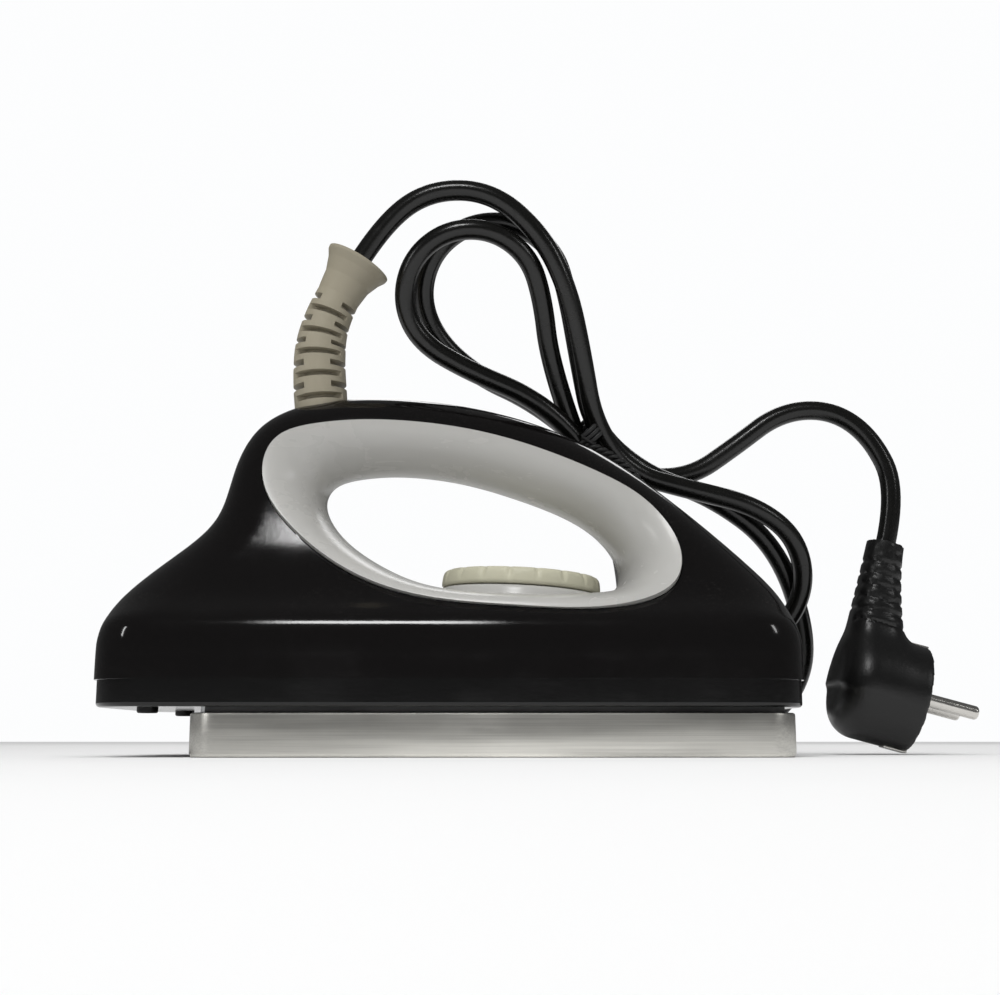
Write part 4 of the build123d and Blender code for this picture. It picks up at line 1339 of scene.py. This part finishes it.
@dataclass
class AngledPlug:
    """The round mains plug with its arm at a right angle to the pins."""

    centre: tuple = (150.0, 40.0, 22.6)
    tilt: float = 15.0
    head_radius: float = 19.0
    back: float = -15.0
    face: float = 14.0
    chamfer: float = 5.5
    arm_height: float = 52.0
    arm_x: float = -8.3
    arm_radius: float = 6.6
    arm_swell: tuple = (6.0, 8.4)
    rib_height: float = 0.45
    rib_pitch: float = 4.4
    ribs_from: float = 22.0
    ribs_to: float = 48.0
    bevel_round: float = 3.0
    face_round: float = 1.6
    arm_round: float = 5.0
    step: float = 1.1

    def axes(self) -> np.ndarray:
        """Rows: along the pins, across, along the arm."""
        t = math.radians(self.tilt)
        return np.array([(math.cos(t), 0, -math.sin(t)), (0, 1, 0), (math.sin(t), 0, math.cos(t))])

    def arm_top(self) -> np.ndarray:
        """Where the cord enters the arm."""
        along, _, up = self.axes()
        return np.array(self.centre) + along * self.arm_x + up * self.arm_height

    def measure_local(self, p: np.ndarray) -> np.ndarray:
        """Distance in the plug's own frame.

        Args:
            p: Points in the plug's own frame.

        Returns:
            The distances.
        """
        x, y, z = p.T
        radial = np.hypot(y, z)
        drum = np.maximum(radial - self.head_radius, np.maximum(x - self.face, self.back - x))
        bevel = (radial - self.head_radius - (x - self.back) + self.chamfer) / math.sqrt(2)
        head = blend_max(drum, bevel, self.bevel_round)[0]
        head = blend_max(head, x - self.face, self.face_round)[0]
        share = np.clip((z - 2) / (self.arm_height - 2), 0, 1)
        reach_x = self.arm_swell[0] * (1 - share) ** 1.5 + self.arm_radius
        reach_y = self.arm_swell[1] * (1 - share) ** 1.6 + self.arm_radius
        middle = self.back + reach_x + 0.1 * share
        power = 2.0 + 1.4 * (1 - share)
        ring = np.abs((x - middle) / reach_x) ** power + np.abs(y / reach_y) ** power
        ring = ring ** (1 / power)
        wave = np.cos((z - self.ribs_from) * 2 * math.pi / self.rib_pitch)
        ribs = self.rib_height * (wave > 0.55) * (z > self.ribs_from) * (z < self.ribs_to)
        arm = (ring - 1) * np.minimum(reach_x, reach_y) * 0.9 + ribs
        arm = np.maximum(arm, np.maximum(z - self.arm_height, -z))
        both, _ = blend_max(-head, -arm, self.arm_round)
        return -both

    def measure(self, points: np.ndarray) -> tuple[np.ndarray, np.ndarray]:
        """Distance and gradient in the row's frame.

        Args:
            points: Points in millimetres.

        Returns:
            The distances and the gradients.
        """
        local = (points - self.centre) @ self.axes().T
        value = self.measure_local(local)
        grad = np.zeros_like(points)
        nudge = 0.05
        for k in range(3):
            shift = np.zeros(3)
            shift[k] = nudge
            rise = self.measure_local(local + shift) - self.measure_local(local - shift)
            grad[:, k] = rise / (2 * nudge)
        return value, grad @ self.axes()

    def build(self, paint: Paint) -> bpy.types.Object:
        """Mesh the moulded plug.

        Args:
            paint: The finishes.

        Returns:
            The plug.
        """
        low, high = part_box("plug_body")
        low = tuple(c / MM - 3 for c in low)
        high = tuple(c / MM + 3 for c in high)
        verts, quads = surface_of(self.measure, low, high, self.step)
        piece = mesh_piece("plug_moulding", verts, quads)
        sharpen(piece, 48)
        paint.settle(piece, "plug_black", replaces=["plug_body"])
        return piece


# ---- studio -----------------------------------------------------------------------------


class Softbox(Enum):
    """The studio's lights: place, aim, size, power, and whether gloss mirrors them."""

    FRONT_WASH = ((-0.35, -1.2, 0.8), (0.0, 0.0, 0.06), (0.9, 0.5), 2.0, False)
    STRIP = ((-0.085, -0.60, 0.72), (-0.085, 0.0, 0.04), (0.19, 0.15), 1.7, True)
    WINDOW_LEFT = ((-0.95, -0.7, 0.5), (-0.03, 0.0, 0.07), (0.06, 0.4), 1.0, True)
    WINDOW_RIGHT = ((0.9, -0.6, 0.6), (0.03, 0.0, 0.07), (0.08, 0.35), 0.8, True)
    BACK = ((0.2, 1.1, 0.9), (0.0, 0.0, 0.08), (0.8, 0.3), 2.0, True)


@dataclass
class Studio:
    """Pale floor, soft lights and the camera at the iron's side."""

    lens: float = 49.752
    sensor: float = 36.0
    eye: tuple = (8.8, -453.0, 5.0)
    pitch: float = 9.96
    yaw: float = 0.84

    def build(self) -> None:
        """Make camera, floor, lights and backdrop colour."""
        scene = bpy.context.scene
        optics = bpy.data.cameras.new("camera")
        optics.sensor_width = self.sensor
        optics.lens = self.lens
        optics.clip_start = 0.005
        camera = bpy.data.objects.new("camera", optics)
        camera.location = Vector(self.eye) * MM
        camera.rotation_euler = (math.radians(90 + self.pitch), 0, -math.radians(self.yaw))
        scene.collection.objects.link(camera)
        scene.camera = camera
        for box in Softbox:
            place, aim, size, power, mirrored = box.value
            light = bpy.data.lights.new(f"softbox_{box.name.lower()}", "AREA")
            light.shape = "RECTANGLE"
            light.size, light.size_y = size
            light.energy = power
            lamp = bpy.data.objects.new(light.name, light)
            lamp.location = place
            lamp.visible_glossy = mirrored
            lamp.rotation_euler = (Vector(aim) - Vector(place)).to_track_quat("-Z", "Y").to_euler()
            scene.collection.objects.link(lamp)
        self.sky()
        world = bpy.data.worlds.new("studio")
        world.use_nodes = True
        tree = NodeTree(world.node_tree)
        backdrop = world.node_tree.nodes["Background"]
        backdrop.inputs["Color"].default_value = (0.97, 0.975, 0.98, 1)
        seen = tree.math("MULTIPLY", tree.add("ShaderNodeLightPath").outputs["Is Camera Ray"], 0.91)
        tree.join(tree.math("ADD", seen, 0.1), backdrop.inputs["Strength"])
        scene.world = world
        scene.view_settings.view_transform = "Standard"
        self.floor()

    @staticmethod
    def sky() -> None:
        """One broad even light from above and a little in front."""
        light = bpy.data.lights.new("broad_sky", "SUN")
        light.energy = 1.75
        light.angle = math.radians(75)
        lamp = bpy.data.objects.new("broad_sky", light)
        lamp.rotation_euler = (math.radians(22), math.radians(-8), 0)
        lamp.visible_glossy = False
        bpy.context.scene.collection.objects.link(lamp)

    @staticmethod
    def floor() -> None:
        """A wide pale floor with a faint tone variation."""
        size = 4000.0
        corners = np.array([(-size, -size, 0), (size, -size, 0), (size, size, 0), (-size, size, 0)])
        plane = mesh_piece("floor", corners, [(0, 1, 2, 3)])
        material = bpy.data.materials.new("floor_paper")
        material.use_nodes = True
        tree = NodeTree(material.node_tree)
        shader = material.node_tree.nodes["Principled BSDF"]
        shader.inputs["Roughness"].default_value = 0.9
        shader.inputs["Specular IOR Level"].default_value = 0.0
        tint = tree.add("ShaderNodeMix", data_type="RGBA")
        place = tree.add("ShaderNodeTexCoord").outputs["Object"]
        tree.join(tree.noise(place, 3.0), tint.inputs["Factor"])
        tint.inputs["A"].default_value = (0.93, 0.93, 0.93, 1)
        tint.inputs["B"].default_value = (0.955, 0.955, 0.955, 1)
        tree.join(tint.outputs["Result"], shader.inputs["Base Color"])
        plane.data.materials.append(material)


def dress_nodes(paint: Paint) -> None:
    """Give every CAD node the finish of its material slot in the record.

    Args:
        paint: The finishes.
    """
    for part in frame["record"]["subparts"]:
        if part["node"] in frame["nodes"] and part["material_slot"] in paint.materials:
            paint.on_node(part["node"], part["material_slot"])
    paint.on_node("shell_screws", "screw_black")


def main() -> None:
    """Build the studio, the cord and then the iron."""
    logging.basicConfig(level=logging.INFO)
    Studio().build()
    paint = Paint()
    dress_nodes(paint)
    route = FreeCord()
    cord = route.build(paint)
    tie = TwistTie().build(route, paint)
    plug = AngledPlug().build(paint)
    body = MouldedBody()
    opening = FingerOpening(body)
    body.build(opening, paint)
    opening.build(paint)
    CordGuard().build(paint)
    Dial().build(paint)
    SolePlate().build(paint)


if __name__ == "__main__":
    main()
